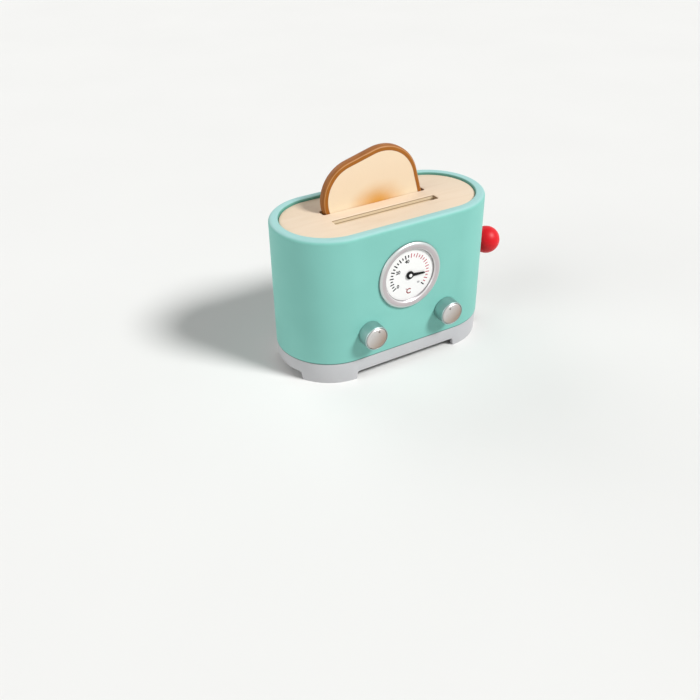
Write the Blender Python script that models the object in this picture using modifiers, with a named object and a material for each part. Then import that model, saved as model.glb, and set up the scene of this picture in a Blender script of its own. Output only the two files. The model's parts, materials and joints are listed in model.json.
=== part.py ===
# Toy pop-up toaster: a painted oblong shell on a moulded base, a wooden top with two
# bread slots, a sprung toast carriage with a ball lever, a latch with its release magnet,
# a round gauge and two turning knobs. Lengths are in metres, +Z is up, the front faces -Y.

import bpy
import bmesh
import math
from mathutils import Matrix, Vector

# Overall sizes
body_beyond_slots = 0.0454
body_depth = 0.090
shell_height = 0.108
base_height = 0.0186
foot_height = 0.0072

# Clearances shared by all pieces
gap = 0.0003
overrun = 0.002
merge_distance = 0.000001

# Shell
shell_wall = 0.003
rim_width = 0.0077
rim_round = 0.003
rim_inner_round = 0.001
ledge_width = 0.008
ledge_thickness = 0.003
boss_inset = 0.0085
boss_radius = 0.0058
boss_height = 0.022
boss_setback = 0.0005
boss_angle = math.radians(50)

# Wooden top
panel_recess = 0.0021
panel_thickness = 0.006
panel_chamfer = 0.0007
slot_beyond_toast = 0.0073
slot_width = 0.0082
slot_pitch = 0.0198
slot_corner = 0.0015

# Base
base_inset = 0.0002
base_draft = 0.0006
skirt_wall = 0.0045
deck_thickness = 0.003
front_arch_width = 0.0934
end_arch_width = 0.042
arch_slant = 0.0012
arch_corner = 0.0015
lip_wall = 0.0015
lip_height = 0.0043
rib_wall = 0.0016
rib_place = 0.050
rib_depth = 0.0045

# Battery bay in the base, for two AAA cells side by side
bay_length = 0.056
bay_width = 0.027
bay_height = 0.0122
bay_wall = 0.002
bay_screw_land = 0.012
door_rebate = 0.001
door_thickness = 0.0018
door_lift = 0.0015
contact_thickness = 0.0005
contact_width = 0.0095
contact_height = 0.0085
contact_pitch = 0.0115

# Screws
screw_radius = 0.0012
screw_head_radius = 0.0028
screw_head_height = 0.0016
base_screw_grip = 0.012
short_screw_grip = 0.0042
door_screw_grip = 0.0055

# Toast carriage and its guides
lever_travel = 0.034
toast_width = 0.0869
toast_height = 0.0805
toast_thickness = 0.0072
toast_round = 0.0022
toast_left_corner = 0.03
toast_right_corner = 0.0338
toast_low_corner = 0.020
toast_tilt = math.radians(15.2)
toast_offset = 0.0011
tray_above_base = 0.0623
tray_short_of_slot = 0.007
tray_width = 0.0066
tray_thickness = 0.003
tray_lip_width = 0.0011
tray_lip_height = 0.0016
tongue_width = 0.004
bridge_gap = 0.002
bridge_width = 0.005
rod_beyond_guide = 0.0125
rod_radius = 0.0015
rod_boss_radius = 0.0045
rod_boss_height = 0.0053
rod_seat_depth = 0.003
lug_radius = 0.0045
lug_below = 0.003
lug_above = 0.005
arm_width = 0.006
drop_plate_beyond_rod = 0.008
drop_plate_thickness = 0.006
drop_plate_width = 0.010
drop_plate_below = 0.004
catch_beyond_rod = 0.009

# Bread guides under the slots
guide_beyond_slot = 0.0004
guide_width = 0.0094
guide_wall = 0.0013
guide_corner = 0.0024
guide_inner_corner = 0.0006
guide_skirt = 0.0004
guide_flange_reach = 0.00835
guide_flange_width = 0.0165
guide_flange_thickness = 0.002
guide_slit_width = 0.0052
guide_slit_margin = 0.0035
guide_screw_reach = 0.0046

# Carriage springs
spring_wire_radius = 0.0004
spring_mean_radius = 0.0032
spring_turns = 12
spring_turn_points = 8

# Lever
lever_below_tray = 0.0157
lever_slot_width = 0.006
lever_slot_corner = 0.0027
stem_radius = 0.002
stem_collar_radius = 0.0032
stem_collar_width = 0.0025
stem_tail = 0.003
stem_nut_thickness = 0.0018
stem_nut_radius = 0.0038
ball_radius = 0.012
ball_clear = 0.0069
ball_bore_depth = 0.009

# Latch and its magnet
latch_beyond_rod = 0.0135
latch_clearance = 0.0009
latch_width = 0.006
latch_hub_radius = 0.0036
latch_pin_radius = 0.0012
latch_pin_overhang = 0.0012
latch_arm_back = 0.002
latch_arm_front = 0.001
latch_nose_low = 0.0113
latch_nose_tip_low = 0.0124
latch_nose_tip_high = 0.0134
latch_nose_reach = 0.0037
latch_top = 0.0172
latch_tail_half = 0.0012
latch_tail_low = 0.010
yoke_thickness = 0.0015
yoke_width = 0.012
yoke_back_reach = 0.0133
yoke_back_margin = 0.0065
yoke_ear_reach = 0.0035
yoke_front_reach = 0.0035
yoke_ear_margin = 0.005
magnet_drop = 0.0075
core_radius = 0.0022
core_shoe_radius = 0.0036
core_shoe_thickness = 0.0007
core_face_reach = 0.0044
coil_radius = 0.0062
coil_wound_radius = 0.0054
coil_cheek = 0.0008

# Circuit board
board_length = 0.044
board_width = 0.021
board_thickness = 0.0014
board_corner = 0.001
board_before_back = 0.0165
standoff_radius = 0.0026
standoff_height = 0.006
standoff_margin = 0.0035
chip_length = 0.012
chip_width = 0.008
chip_height = 0.003
chip_place_x = 0.003

# Gauge on the front
gauge_above_shell_foot = 0.0641
bezel_outer_radius = 0.0283
bezel_inner_radius = 0.022
bezel_rise = 0.0021
spigot_outer_radius = 0.025
spigot_wall = 0.0019
spigot_depth = 0.005
dial_thickness = 0.0012
backplate_thickness = 0.002
hand_thickness = 0.0008
hand_hub_radius = 0.0033
hand_length = 0.014
hand_half_width = 0.001
hand_tip_half_width = 0.0006
hand_turn = math.radians(95)
hand_pin_radius = 0.0007
hand_pin_head_radius = 0.0014
hand_pin_head_height = 0.0006

# Knobs on the front
knob_place = 0.036
knob_above_shell_foot = 0.0226
knob_radius = 0.0105
knob_face_radius = 0.0102
knob_length = 0.0106
knob_wall = 0.0014
knob_floor = 0.004
knob_edge = 0.0005
knob_rim = 0.0009
knob_recess = 0.0011
cap_rise = 0.0005
cap_dome = 0.0007
cap_dimple_radius = 0.0009
cap_dimple_place = 0.0062
left_knob_turn = math.radians(16)
right_knob_turn = math.radians(-27)
shaft_radius = 0.003
shaft_length = 0.0135
shaft_groove_depth = 0.0006
shaft_groove_width = 0.0014
shaft_groove_place = 0.0105
bush_radius = 0.0046
bush_flange_radius = 0.0065
bush_flange_thickness = 0.0015
bush_length = 0.0085
clip_radius = 0.0055

# Edges steeper than these are rounded over, or shaded as edges
sharp_angle = math.radians(40)
shading_angle = math.radians(35)

# Counts of facets
stadium_steps = 28
inner_stadium_steps = 14
wide_circle_steps = 48
round_steps = 20
knob_steps = 32
ball_steps = 28
small_round_steps = 12
screw_steps = 10
hub_steps = 8
nut_sides = 6
cap_rings = 3
crown_steps = 7
arch_steps = 4
toast_corner_steps = 9
wide_round_segments = 4

# Heights and places worked out from the sizes above
slot_length = toast_width + slot_beyond_toast
guide_length = slot_length + 2 * guide_beyond_slot
guide_flange_length = guide_length + 2 * guide_flange_reach
guide_screw_place = guide_length / 2 + guide_screw_reach
tray_length = slot_length - tray_short_of_slot
rod_place = guide_length / 2 + rod_beyond_guide
drop_plate_place = rod_place + drop_plate_beyond_rod
catch_reach = rod_place + catch_beyond_rod
latch_place = rod_place + latch_beyond_rod
yoke_back_place = latch_place + yoke_back_reach
yoke_ear_place = latch_place + yoke_ear_reach
yoke_front_place = latch_place - yoke_front_reach
core_face_place = latch_place + core_face_reach
body_length = slot_length + 2 * body_beyond_slots
half_length = body_length / 2
ball_reach = half_length + ball_clear + ball_radius
half_depth = body_depth / 2
spine_half = half_length - half_depth
board_centre_y = half_depth - board_before_back
deck_top = base_height - gap
shell_top = base_height + shell_height
panel_top = shell_top - panel_recess
panel_low = panel_top - panel_thickness
ledge_top = panel_low - gap
ledge_low = ledge_top - ledge_thickness
tray_top = base_height + tray_above_base
tray_low = tray_top - tray_thickness
lever_height = tray_top - lever_below_tray
guide_low = tray_low - lever_travel - guide_skirt
guide_slit_top = tray_top + guide_slit_margin
latch_height = tray_top - lever_travel - latch_nose_low + latch_clearance
magnet_height = latch_height - magnet_drop
gauge_height = base_height + gauge_above_shell_foot
knob_height = base_height + knob_above_shell_foot
spigot_inner_radius = spigot_outer_radius - spigot_wall
bay_low = foot_height + door_lift
bay_ceiling = bay_low + door_thickness + bay_height
rod_boss_top = deck_top + rod_boss_height
frame_shift_x = -(ball_reach + ball_radius - half_length) / 2
frame_shift_y = (knob_length + cap_rise + cap_dome) / 2

materials = {
    "teal_paint": ((135, 198, 187), 0.45, 0.0),
    "plywood": ((238, 219, 193), 0.6, 0.0),
    "grey_plastic": ((196, 197, 196), 0.45, 0.0),
    "silver_plastic": ((196, 200, 200), 0.28, 0.85),
    "white_print": ((244, 244, 240), 0.5, 0.0),
    "black_print": ((28, 28, 30), 0.45, 0.0),
    "red_lacquer": ((214, 32, 38), 0.25, 0.0),
    "toast_paint": ((244, 214, 168), 0.6, 0.0),
    "steel": ((188, 190, 192), 0.3, 1.0),
    "spring_steel": ((150, 152, 156), 0.3, 1.0),
    "copper_wire": ((176, 98, 56), 0.35, 1.0),
    "dark_plastic": ((40, 41, 44), 0.5, 0.0),
    "board_green": ((34, 96, 62), 0.5, 0.0),
    "milky_plastic": ((226, 226, 218), 0.5, 0.0),
}


def clear_scene():
    for item in list(bpy.data.objects):
        bpy.data.objects.remove(item, do_unlink=True)


def new_collection(name):
    collection = bpy.data.collections.new(name)
    bpy.context.scene.collection.children.link(collection)
    return collection


def channel(value):
    # One colour channel from 0 to 255 as a linear value
    share = value / 255
    if share <= 0.04045:
        return share / 12.92
    return ((share + 0.055) / 1.055) ** 2.4


def make_material(name):
    colour, roughness, metallic = materials[name]
    material = bpy.data.materials.get(name)
    if material is None:
        material = bpy.data.materials.new(name)
        material.use_nodes = True
        shader = material.node_tree.nodes["Principled BSDF"]
        shader.inputs["Base Color"].default_value = (*[channel(value) for value in colour], 1)
        shader.inputs["Roughness"].default_value = roughness
        shader.inputs["Metallic"].default_value = metallic
    return material


clear_scene()
parts = new_collection("toy_toaster")
cutters = new_collection("cutters")
toaster_frame = bpy.data.objects.new("toaster_frame", None)
toaster_frame.location = (frame_shift_x, frame_shift_y, 0)
parts.objects.link(toaster_frame)


# Outlines, as lists of points in a plane

def arc(centre, radius, start, end, steps):
    points = []
    for step in range(steps + 1):
        angle = start + (end - start) * step / steps
        points.append((centre[0] + radius * math.cos(angle), centre[1] + radius * math.sin(angle)))
    return points


def stadium(inset, steps=stadium_steps):
    # The oblong plan of the body, drawn in by an inset
    quarter = math.pi / 2
    radius = half_depth - inset
    right = arc((spine_half, 0), radius, -quarter, quarter, steps)
    left = arc((-spine_half, 0), radius, quarter, 3 * quarter, steps)
    return right + left


def circle(radius, steps, centre=(0, 0)):
    return arc(centre, radius, 0, math.tau, steps)[:-1]


def rounded_box(length, width, corner, centre=(0, 0), steps=3):
    quarter = math.pi / 2
    along = length / 2 - corner
    across = width / 2 - corner
    points = []
    for turn, (side, end) in enumerate(((1, 1), (-1, 1), (-1, -1), (1, -1))):
        middle = (centre[0] + side * along, centre[1] + end * across)
        points += arc(middle, corner, turn * quarter, (turn + 1) * quarter, steps)
    return points


def toast_outline():
    # A bread slice with wide round top corners, turned by its tilt about its middle
    quarter = math.pi / 2
    half_width = toast_width / 2
    half_height = toast_height / 2
    points = []
    corners = ((1, 1, toast_right_corner), (-1, 1, toast_left_corner),
               (-1, -1, toast_low_corner), (1, -1, toast_low_corner))
    for turn, (side, end, corner) in enumerate(corners):
        middle = (side * (half_width - corner), end * (half_height - corner))
        points += arc(middle, corner, turn * quarter, (turn + 1) * quarter, toast_corner_steps)
    cosine = math.cos(toast_tilt)
    sine = math.sin(toast_tilt)
    return [(x * cosine - z * sine, x * sine + z * cosine) for x, z in points]


# Solids from outlines and profiles

planes = {
    "Z": Matrix.Identity(4),
    "Y": Matrix.Rotation(math.pi / 2, 4, "X"),
    "X": Matrix.Rotation(math.pi / 2, 4, "Y") @ Matrix.Rotation(math.pi / 2, 4, "Z"),
}


def link(item, collection, parent=toaster_frame):
    collection.objects.link(item)
    item.parent = parent
    if collection == cutters:
        item.hide_render = True
        item.display_type = "WIRE"
    return item


def evaluated_mesh(item):
    bpy.context.view_layer.update()
    graph = bpy.context.evaluated_depsgraph_get()
    return bpy.data.meshes.new_from_object(item.evaluated_get(graph))


def slab(name, outlines, low, high, axis="Z", collection=parts, parent=toaster_frame):
    # A flat piece between two levels along an axis. On Y the outline is read as X and Z
    # and the levels run from the front to the back; on X it is read as Y and Z.
    curve = bpy.data.curves.new(name, "CURVE")
    curve.dimensions = "2D"
    curve.fill_mode = "BOTH"
    curve.extrude = (high - low) / 2
    for outline in outlines:
        spline = curve.splines.new("POLY")
        spline.points.add(len(outline) - 1)
        for point, place in zip(spline.points, outline):
            point.co = (place[0], place[1], 0, 1)
        spline.use_cyclic_u = True
    drawn = bpy.data.objects.new(name + "_outline", curve)
    parts.objects.link(drawn)
    mesh = evaluated_mesh(drawn)
    bpy.data.objects.remove(drawn, do_unlink=True)
    middle = (low + high) / 2
    if axis == "Y":
        middle = -middle
    solid = bmesh.new()
    solid.from_mesh(mesh)
    bmesh.ops.remove_doubles(solid, verts=solid.verts, dist=merge_distance)
    bmesh.ops.recalc_face_normals(solid, faces=solid.faces)
    solid.transform(planes[axis] @ Matrix.Translation((0, 0, middle)))
    solid.to_mesh(mesh)
    solid.free()
    mesh.name = name
    return link(bpy.data.objects.new(name, mesh), collection, parent)


def box(name, low, high, collection=parts, parent=toaster_frame):
    # A block between two corners
    mesh = bpy.data.meshes.new(name)
    solid = bmesh.new()
    bmesh.ops.create_cube(solid, size=1)
    for vert in solid.verts:
        vert.co = [end if along > 0 else start for along, start, end in zip(vert.co, low, high)]
    solid.to_mesh(mesh)
    solid.free()
    return link(bpy.data.objects.new(name, mesh), collection, parent)


def cylinder(name, radius, low, high, place, axis="Z", steps=round_steps,
             collection=parts, parent=toaster_frame):
    # A round bar between two levels along an axis, through the other two coordinates
    turn = planes[axis]
    length = high - low
    middle = (low + high) / 2
    centre = {"X": (middle, *place), "Y": (place[0], middle, place[1]), "Z": (*place, middle)}
    mesh = bpy.data.meshes.new(name)
    solid = bmesh.new()
    bmesh.ops.create_cone(solid, cap_ends=True, segments=steps, radius1=radius, radius2=radius,
                          depth=length, matrix=Matrix.Translation(centre[axis]) @ turn)
    solid.to_mesh(mesh)
    solid.free()
    return link(bpy.data.objects.new(name, mesh), collection, parent)


def turned(name, profile, place, axis="Z", steps=round_steps, ring=False, parent=toaster_frame):
    # A lathe-turned piece: pairs of radius and height, down the outer side.
    # Its height runs up on Z, out of the front on Y and towards +X on X.
    turn = {"Z": (0, 0, 0), "Y": (math.pi / 2, 0, 0), "X": (0, math.pi / 2, 0)}
    mesh = bpy.data.meshes.new(name)
    edges = [(k, k + 1) for k in range(len(profile) - 1)]
    if ring:
        edges.append((len(profile) - 1, 0))
    mesh.from_pydata([(radius, 0, height) for radius, height in profile], edges, [])
    item = link(bpy.data.objects.new(name, mesh), parts, parent)
    item.location = place
    item.rotation_euler = turn[axis]
    screw = item.modifiers.new("turn", "SCREW")
    screw.axis = "Z"
    screw.steps = steps
    screw.render_steps = steps
    screw.use_merge_vertices = True
    screw.merge_threshold = merge_distance * 10
    return item


def combine(item, other, operation):
    change = item.modifiers.new(other.name, "BOOLEAN")
    change.operation = operation
    change.solver = "EXACT"
    change.object = other


def cut(item, *others):
    for other in others:
        combine(item, other, "DIFFERENCE")


def add(item, *others):
    for other in others:
        combine(item, other, "UNION")


def settle(item):
    # Make the modifiers' result the piece's own mesh, with its seams merged
    mesh = evaluated_mesh(item)
    item.modifiers.clear()
    solid = bmesh.new()
    solid.from_mesh(mesh)
    bmesh.ops.remove_doubles(solid, verts=solid.verts, dist=merge_distance * 3)
    bmesh.ops.dissolve_degenerate(solid, edges=solid.edges, dist=merge_distance * 3)
    solid.to_mesh(mesh)
    solid.free()
    item.data = mesh


def soften(item, test, width, segments):
    # Round or chamfer the sharp edges whose both ends pass a test on their place
    solid = bmesh.new()
    solid.from_mesh(item.data)
    chosen = []
    for edge in solid.edges:
        sharp = len(edge.link_faces) == 2 and edge.calc_face_angle() > sharp_angle
        if sharp and all(test(vert.co) for vert in edge.verts):
            chosen.append(edge)
    bmesh.ops.bevel(solid, geom=chosen, offset=width, segments=segments, profile=0.5,
                    affect="EDGES", clamp_overlap=True)
    solid.to_mesh(item.data)
    solid.free()


def at_height(level):
    return lambda place: abs(place.z - level) < merge_distance * 10


def spine_distance(place):
    # Distance in plan from the body's middle line
    along = max(-spine_half, min(spine_half, place.x))
    return math.hypot(place.x - along, place.y)


def finish(item, material):
    item.data.materials.clear()
    item.data.materials.append(make_material(material))
    if item.type == "MESH" and len(item.data.polygons):
        item.data.shade_smooth()
        item.data.set_sharp_from_angle(angle=shading_angle)
    return item


def boss_places():
    reach = half_depth - boss_inset
    for side in (-1, 1):
        for end in (-1, 1):
            along = spine_half + reach * math.cos(boss_angle)
            yield side * along, end * reach * math.sin(boss_angle)


def panel_screw_places():
    across = half_depth - rim_width - ledge_width / 2
    return [(side * spine_half, end * across) for side in (-1, 1) for end in (-1, 1)]


def guide_screw_places(centre_y):
    return [(side * guide_screw_place, centre_y) for side in (-1, 1)]


def board_screw_places():
    along = board_length / 2 - standoff_margin
    across = board_width / 2 - standoff_margin
    return [(side * along, board_centre_y + end * across) for side in (-1, 1) for end in (-1, 1)]


corner_names = ("left_front", "left_back", "right_front", "right_back")


def make_screw(name, place, seat, grip, upwards=True):
    # A pan-head screw whose head bears on a seat; it points up unless told otherwise
    profile = [
        (0, grip),
        (screw_radius, grip - screw_radius),
        (screw_radius, 0),
        (screw_head_radius, 0),
        (screw_head_radius, -screw_head_height / 2),
        (screw_head_radius / 2, -screw_head_height),
        (0, -screw_head_height),
    ]
    item = turned(name, profile, (*place, seat), steps=screw_steps)
    if not upwards:
        item.rotation_euler = (math.pi, 0, 0)
    return finish(item, "steel")


# Body shell

def make_shell():
    shell = slab("body_shell", [stadium(0)], base_height, shell_top)
    soften(shell, at_height(shell_top), rim_round, wide_round_segments)
    rim_opening = slab("rim_opening", [stadium(rim_width)], ledge_top, shell_top + overrun,
                       collection=cutters)
    ledge_opening = slab("ledge_opening", [stadium(rim_width + ledge_width, inner_stadium_steps)],
                         ledge_low - overrun, ledge_top + overrun, collection=cutters)
    cavity = slab("shell_cavity", [stadium(shell_wall, inner_stadium_steps)],
                  base_height - overrun, ledge_low, collection=cutters)
    for opening in (rim_opening, ledge_opening, cavity):
        cut(shell, opening)
        settle(shell)

    def inner_rim(place):
        inside = spine_distance(place) < half_depth - rim_width + merge_distance * 10
        return inside and at_height(shell_top)(place)

    soften(shell, inner_rim, rim_inner_round, 2)
    for index, place in enumerate(boss_places()):
        low = base_height + boss_setback
        boss = cylinder(f"boss_{index}", boss_radius, low, low + boss_height, place,
                        collection=cutters)
        pilot = cylinder(f"boss_pilot_{index}", screw_radius + gap, low - overrun,
                         low + base_screw_grip, place, steps=small_round_steps,
                         collection=cutters)
        add(shell, boss)
        cut(shell, pilot)
    for index, place in enumerate(panel_screw_places()):
        hole = cylinder(f"ledge_hole_{index}", screw_radius + gap, ledge_low - overrun,
                        ledge_top + overrun, place, steps=small_round_steps,
                        collection=cutters)
        cut(shell, hole)
    front = -half_depth
    gauge_hole = cylinder("gauge_hole", spigot_outer_radius + gap, front - overrun,
                          front + shell_wall + overrun, (0, gauge_height), "Y",
                          wide_circle_steps, cutters)
    cut(shell, gauge_hole)
    for side in (-1, 1):
        hole = cylinder(f"knob_hole_{side}", bush_radius + gap, front - overrun,
                        front + shell_wall + overrun, (side * knob_place, knob_height), "Y",
                        collection=cutters)
        cut(shell, hole)
    slot_low = lever_height - lever_travel - stem_radius - gap
    slot_high = lever_height + stem_radius + gap
    lever_slot = slab("lever_slot",
                      [rounded_box(lever_slot_width, slot_high - slot_low, lever_slot_corner,
                                   (0, (slot_low + slot_high) / 2))],
                      half_length - shell_wall - overrun, half_length + overrun, "X", cutters)
    cut(shell, lever_slot)
    return finish(shell, "teal_paint")


def make_top_panel():
    outlines = [stadium(rim_width + gap)]
    for side in (-1, 1):
        outlines.append(rounded_box(slot_length, slot_width, slot_corner,
                                    (0, side * slot_pitch / 2)))
    panel = slab("top_panel", outlines, panel_low, panel_top)
    soften(panel, at_height(panel_top), panel_chamfer, 1)
    for index, place in enumerate(panel_screw_places()):
        pilot = cylinder(f"panel_pilot_{index}", screw_radius + gap, panel_low - overrun,
                         panel_low + short_screw_grip, place, steps=small_round_steps,
                         collection=cutters)
        cut(panel, pilot)
    for side in (-1, 1):
        for index, place in enumerate(guide_screw_places(side * slot_pitch / 2)):
            pilot = cylinder(f"guide_pilot_{side}_{index}", screw_radius + gap,
                             panel_low - overrun, panel_low + short_screw_grip, place,
                             steps=small_round_steps, collection=cutters)
            cut(panel, pilot)
        seat = cylinder(f"rod_socket_{side}", rod_radius + gap, panel_low - overrun,
                        panel_low + rod_seat_depth + gap, (side * rod_place, 0),
                        steps=small_round_steps, collection=cutters)
        cut(panel, seat)
    return finish(panel, "plywood")


# Base

def arch_outline(width):
    # The gap between two feet, wider at the table by the slant on each side
    lean = math.atan2(arch_slant, foot_height)
    quarter = math.pi / 2
    along = width / 2 - arch_corner * math.tan((quarter - lean) / 2)
    up = foot_height - arch_corner
    reach = width / 2 + arch_slant * (1 + overrun / foot_height)
    return ([(reach, -overrun)] + arc((along, up), arch_corner, lean, quarter, arch_steps)
            + arc((-along, up), arch_corner, quarter, math.pi - lean, arch_steps)
            + [(-reach, -overrun)])


def make_base():
    base = slab("base_tray", [stadium(base_inset)], 0, deck_top)
    for vert in base.data.vertices:
        if vert.co.z < merge_distance:
            along = max(-spine_half, min(spine_half, vert.co.x))
            reach = spine_distance(vert.co)
            share = (reach - base_draft) / reach
            vert.co.x = along + (vert.co.x - along) * share
            vert.co.y = vert.co.y * share
    hollow = slab("base_hollow", [stadium(skirt_wall, inner_stadium_steps)], -overrun,
                  deck_top - deck_thickness, collection=cutters)
    cut(base, hollow)
    across = body_depth
    front_arch = slab("front_arch", [arch_outline(front_arch_width)], -across, across, "Y",
                      cutters)
    end_arch = slab("end_arch", [arch_outline(end_arch_width)], -body_length, body_length, "X",
                    cutters)
    cut(base, front_arch, end_arch)
    lip = slab("base_lip", [stadium(shell_wall + gap, inner_stadium_steps),
                            stadium(shell_wall + gap + lip_wall, inner_stadium_steps)],
               deck_top - deck_thickness / 2, deck_top + lip_height, collection=cutters)
    for index, place in enumerate(boss_places()):
        room = cylinder(f"boss_room_{index}", boss_radius + gap, deck_top - deck_thickness,
                        deck_top + lip_height + overrun, place, collection=cutters)
        cut(lip, room)
    settle(lip)
    add(base, lip)
    settle(base)
    rib_low = deck_top - deck_thickness - rib_depth
    rib_high = deck_top - deck_thickness / 2
    rib_reach = half_depth - skirt_wall + overrun
    for side in (-1, 1):
        rib = box(f"cross_rib_{side}", (side * rib_place - rib_wall / 2, -rib_reach, rib_low),
                  (side * rib_place + rib_wall / 2, rib_reach, rib_high), cutters)
        add(base, rib)
    bay_outer = box("bay_outer", (-bay_length / 2 - bay_wall, -bay_width / 2 - bay_wall, bay_low),
                    (bay_length / 2 + bay_screw_land, bay_width / 2 + bay_wall,
                     bay_ceiling + bay_wall), cutters)
    bay_inner = box("bay_inner", (-bay_length / 2, -bay_width / 2, bay_low - overrun),
                    (bay_length / 2, bay_width / 2, bay_ceiling), cutters)
    rebate = box("bay_rebate",
                 (-bay_length / 2 - door_rebate, -bay_width / 2 - door_rebate,
                  bay_low - overrun),
                 (bay_length / 2 + bay_screw_land - door_rebate,
                  bay_width / 2 + door_rebate, bay_low + door_thickness + gap), cutters)
    land_x = bay_length / 2 + bay_screw_land / 2
    door_pilot = cylinder("door_pilot", screw_radius + gap, bay_low, bay_low + door_thickness
                          + door_screw_grip, (land_x, 0), steps=small_round_steps,
                          collection=cutters)
    add(base, bay_outer)
    settle(base)
    cut(base, bay_inner, rebate, door_pilot)
    settle(base)
    for side in (-1, 1):
        boss = cylinder(f"rod_boss_{side}", rod_boss_radius, deck_top - deck_thickness / 2,
                        rod_boss_top, (side * rod_place, 0), collection=cutters)
        seat = cylinder(f"rod_seat_{side}", rod_radius + gap, rod_boss_top - rod_seat_depth - gap,
                        rod_boss_top + overrun, (side * rod_place, 0),
                        steps=small_round_steps, collection=cutters)
        add(base, boss)
        cut(base, seat)
        settle(base)
    for index, place in enumerate(board_screw_places()):
        standoff = cylinder(f"standoff_{index}", standoff_radius, deck_top - deck_thickness / 2,
                            deck_top + standoff_height, place, steps=small_round_steps,
                            collection=cutters)
        pilot = cylinder(f"standoff_pilot_{index}", screw_radius + gap,
                         deck_top + standoff_height - short_screw_grip,
                         deck_top + standoff_height + overrun, place,
                         steps=small_round_steps, collection=cutters)
        add(base, standoff)
        cut(base, pilot)
    settle(base)
    for index, place in enumerate(boss_places()):
        hole = cylinder(f"base_hole_{index}", screw_radius + gap, deck_top - deck_thickness
                        - overrun, deck_top + overrun, place, steps=small_round_steps,
                        collection=cutters)
        cut(base, hole)
    return finish(base, "grey_plastic")


def make_battery_bay():
    # The door, its screw and the three contact plates
    low_x = -bay_length / 2 - door_rebate + gap
    high_x = bay_length / 2 + bay_screw_land - door_rebate - gap
    across = bay_width / 2 + door_rebate - gap
    land_x = bay_length / 2 + bay_screw_land / 2
    door = box("battery_door", (low_x, -across, bay_low), (high_x, across,
                                                           bay_low + door_thickness))
    hole = cylinder("door_hole", screw_radius + gap, bay_low - overrun,
                    bay_low + door_thickness + overrun, (land_x, 0), steps=small_round_steps,
                    collection=cutters)
    cut(door, hole)
    finish(door, "grey_plastic")
    make_screw("battery_door_screw", (land_x, 0), bay_low - gap,
               door_thickness + door_screw_grip - gap)
    contact_low = bay_low + door_thickness + 2 * gap
    contact_high = contact_low + contact_height
    far = bay_length / 2 - gap
    across = (contact_pitch + contact_width) / 2
    bridge = box("battery_contact_bridge", (-far, -across, contact_low),
                 (-far + contact_thickness, across, contact_high))
    finish(bridge, "steel")
    for name, side in (("plus", -1), ("minus", 1)):
        middle = side * contact_pitch / 2
        plate = box("battery_contact_" + name,
                    (far - contact_thickness, middle - contact_width / 2, contact_low),
                    (far, middle + contact_width / 2, contact_high))
        finish(plate, "steel")


def make_body_screws():
    for name, place in zip(corner_names, boss_places()):
        make_screw("base_screw_" + name, place, deck_top - deck_thickness - gap,
                   base_screw_grip + boss_setback)
    for name, place in zip(corner_names, panel_screw_places()):
        make_screw("panel_screw_" + name, place, ledge_low - gap,
                   ledge_thickness + short_screw_grip - gap)


# Bread guides under the slots

def make_bread_guides():
    flange_low = ledge_top - guide_flange_thickness
    for name, side in (("front", -1), ("back", 1)):
        centre = (0, side * slot_pitch / 2)
        outer = rounded_box(guide_length + 2 * guide_wall, guide_width + 2 * guide_wall,
                            guide_corner, centre)
        inner = rounded_box(guide_length, guide_width, guide_inner_corner, centre)
        flange_outline = rounded_box(guide_flange_length, guide_flange_width,
                                     guide_flange_thickness, centre)
        seam = rounded_box(guide_length + guide_wall, guide_width + guide_wall,
                           guide_wall, centre)
        guide = slab("bread_guide_" + name, [outer, inner], guide_low,
                     ledge_top - guide_flange_thickness / 2)
        flange = slab(f"guide_flange_{name}", [flange_outline, seam], flange_low, ledge_top,
                      collection=cutters)
        slit_low = (-guide_length, centre[1] - guide_slit_width / 2, guide_low - overrun)
        slit_high = (guide_length, centre[1] + guide_slit_width / 2, guide_slit_top)
        slit = box(f"guide_slit_{name}", slit_low, slit_high, cutters)
        add(guide, flange)
        settle(guide)
        cut(guide, slit)
        settle(guide)
        for end, place in zip(("left", "right"), guide_screw_places(centre[1])):
            hole = cylinder(f"guide_hole_{name}_{end}", screw_radius + gap,
                            flange_low - overrun, ledge_top + overrun, place,
                            steps=small_round_steps, collection=cutters)
            cut(guide, hole)
            make_screw(f"guide_screw_{name}_{end}", place, flange_low - gap,
                       guide_flange_thickness + short_screw_grip)
        finish(guide, "milky_plastic")


# Toast carriage, its rods and springs

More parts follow.
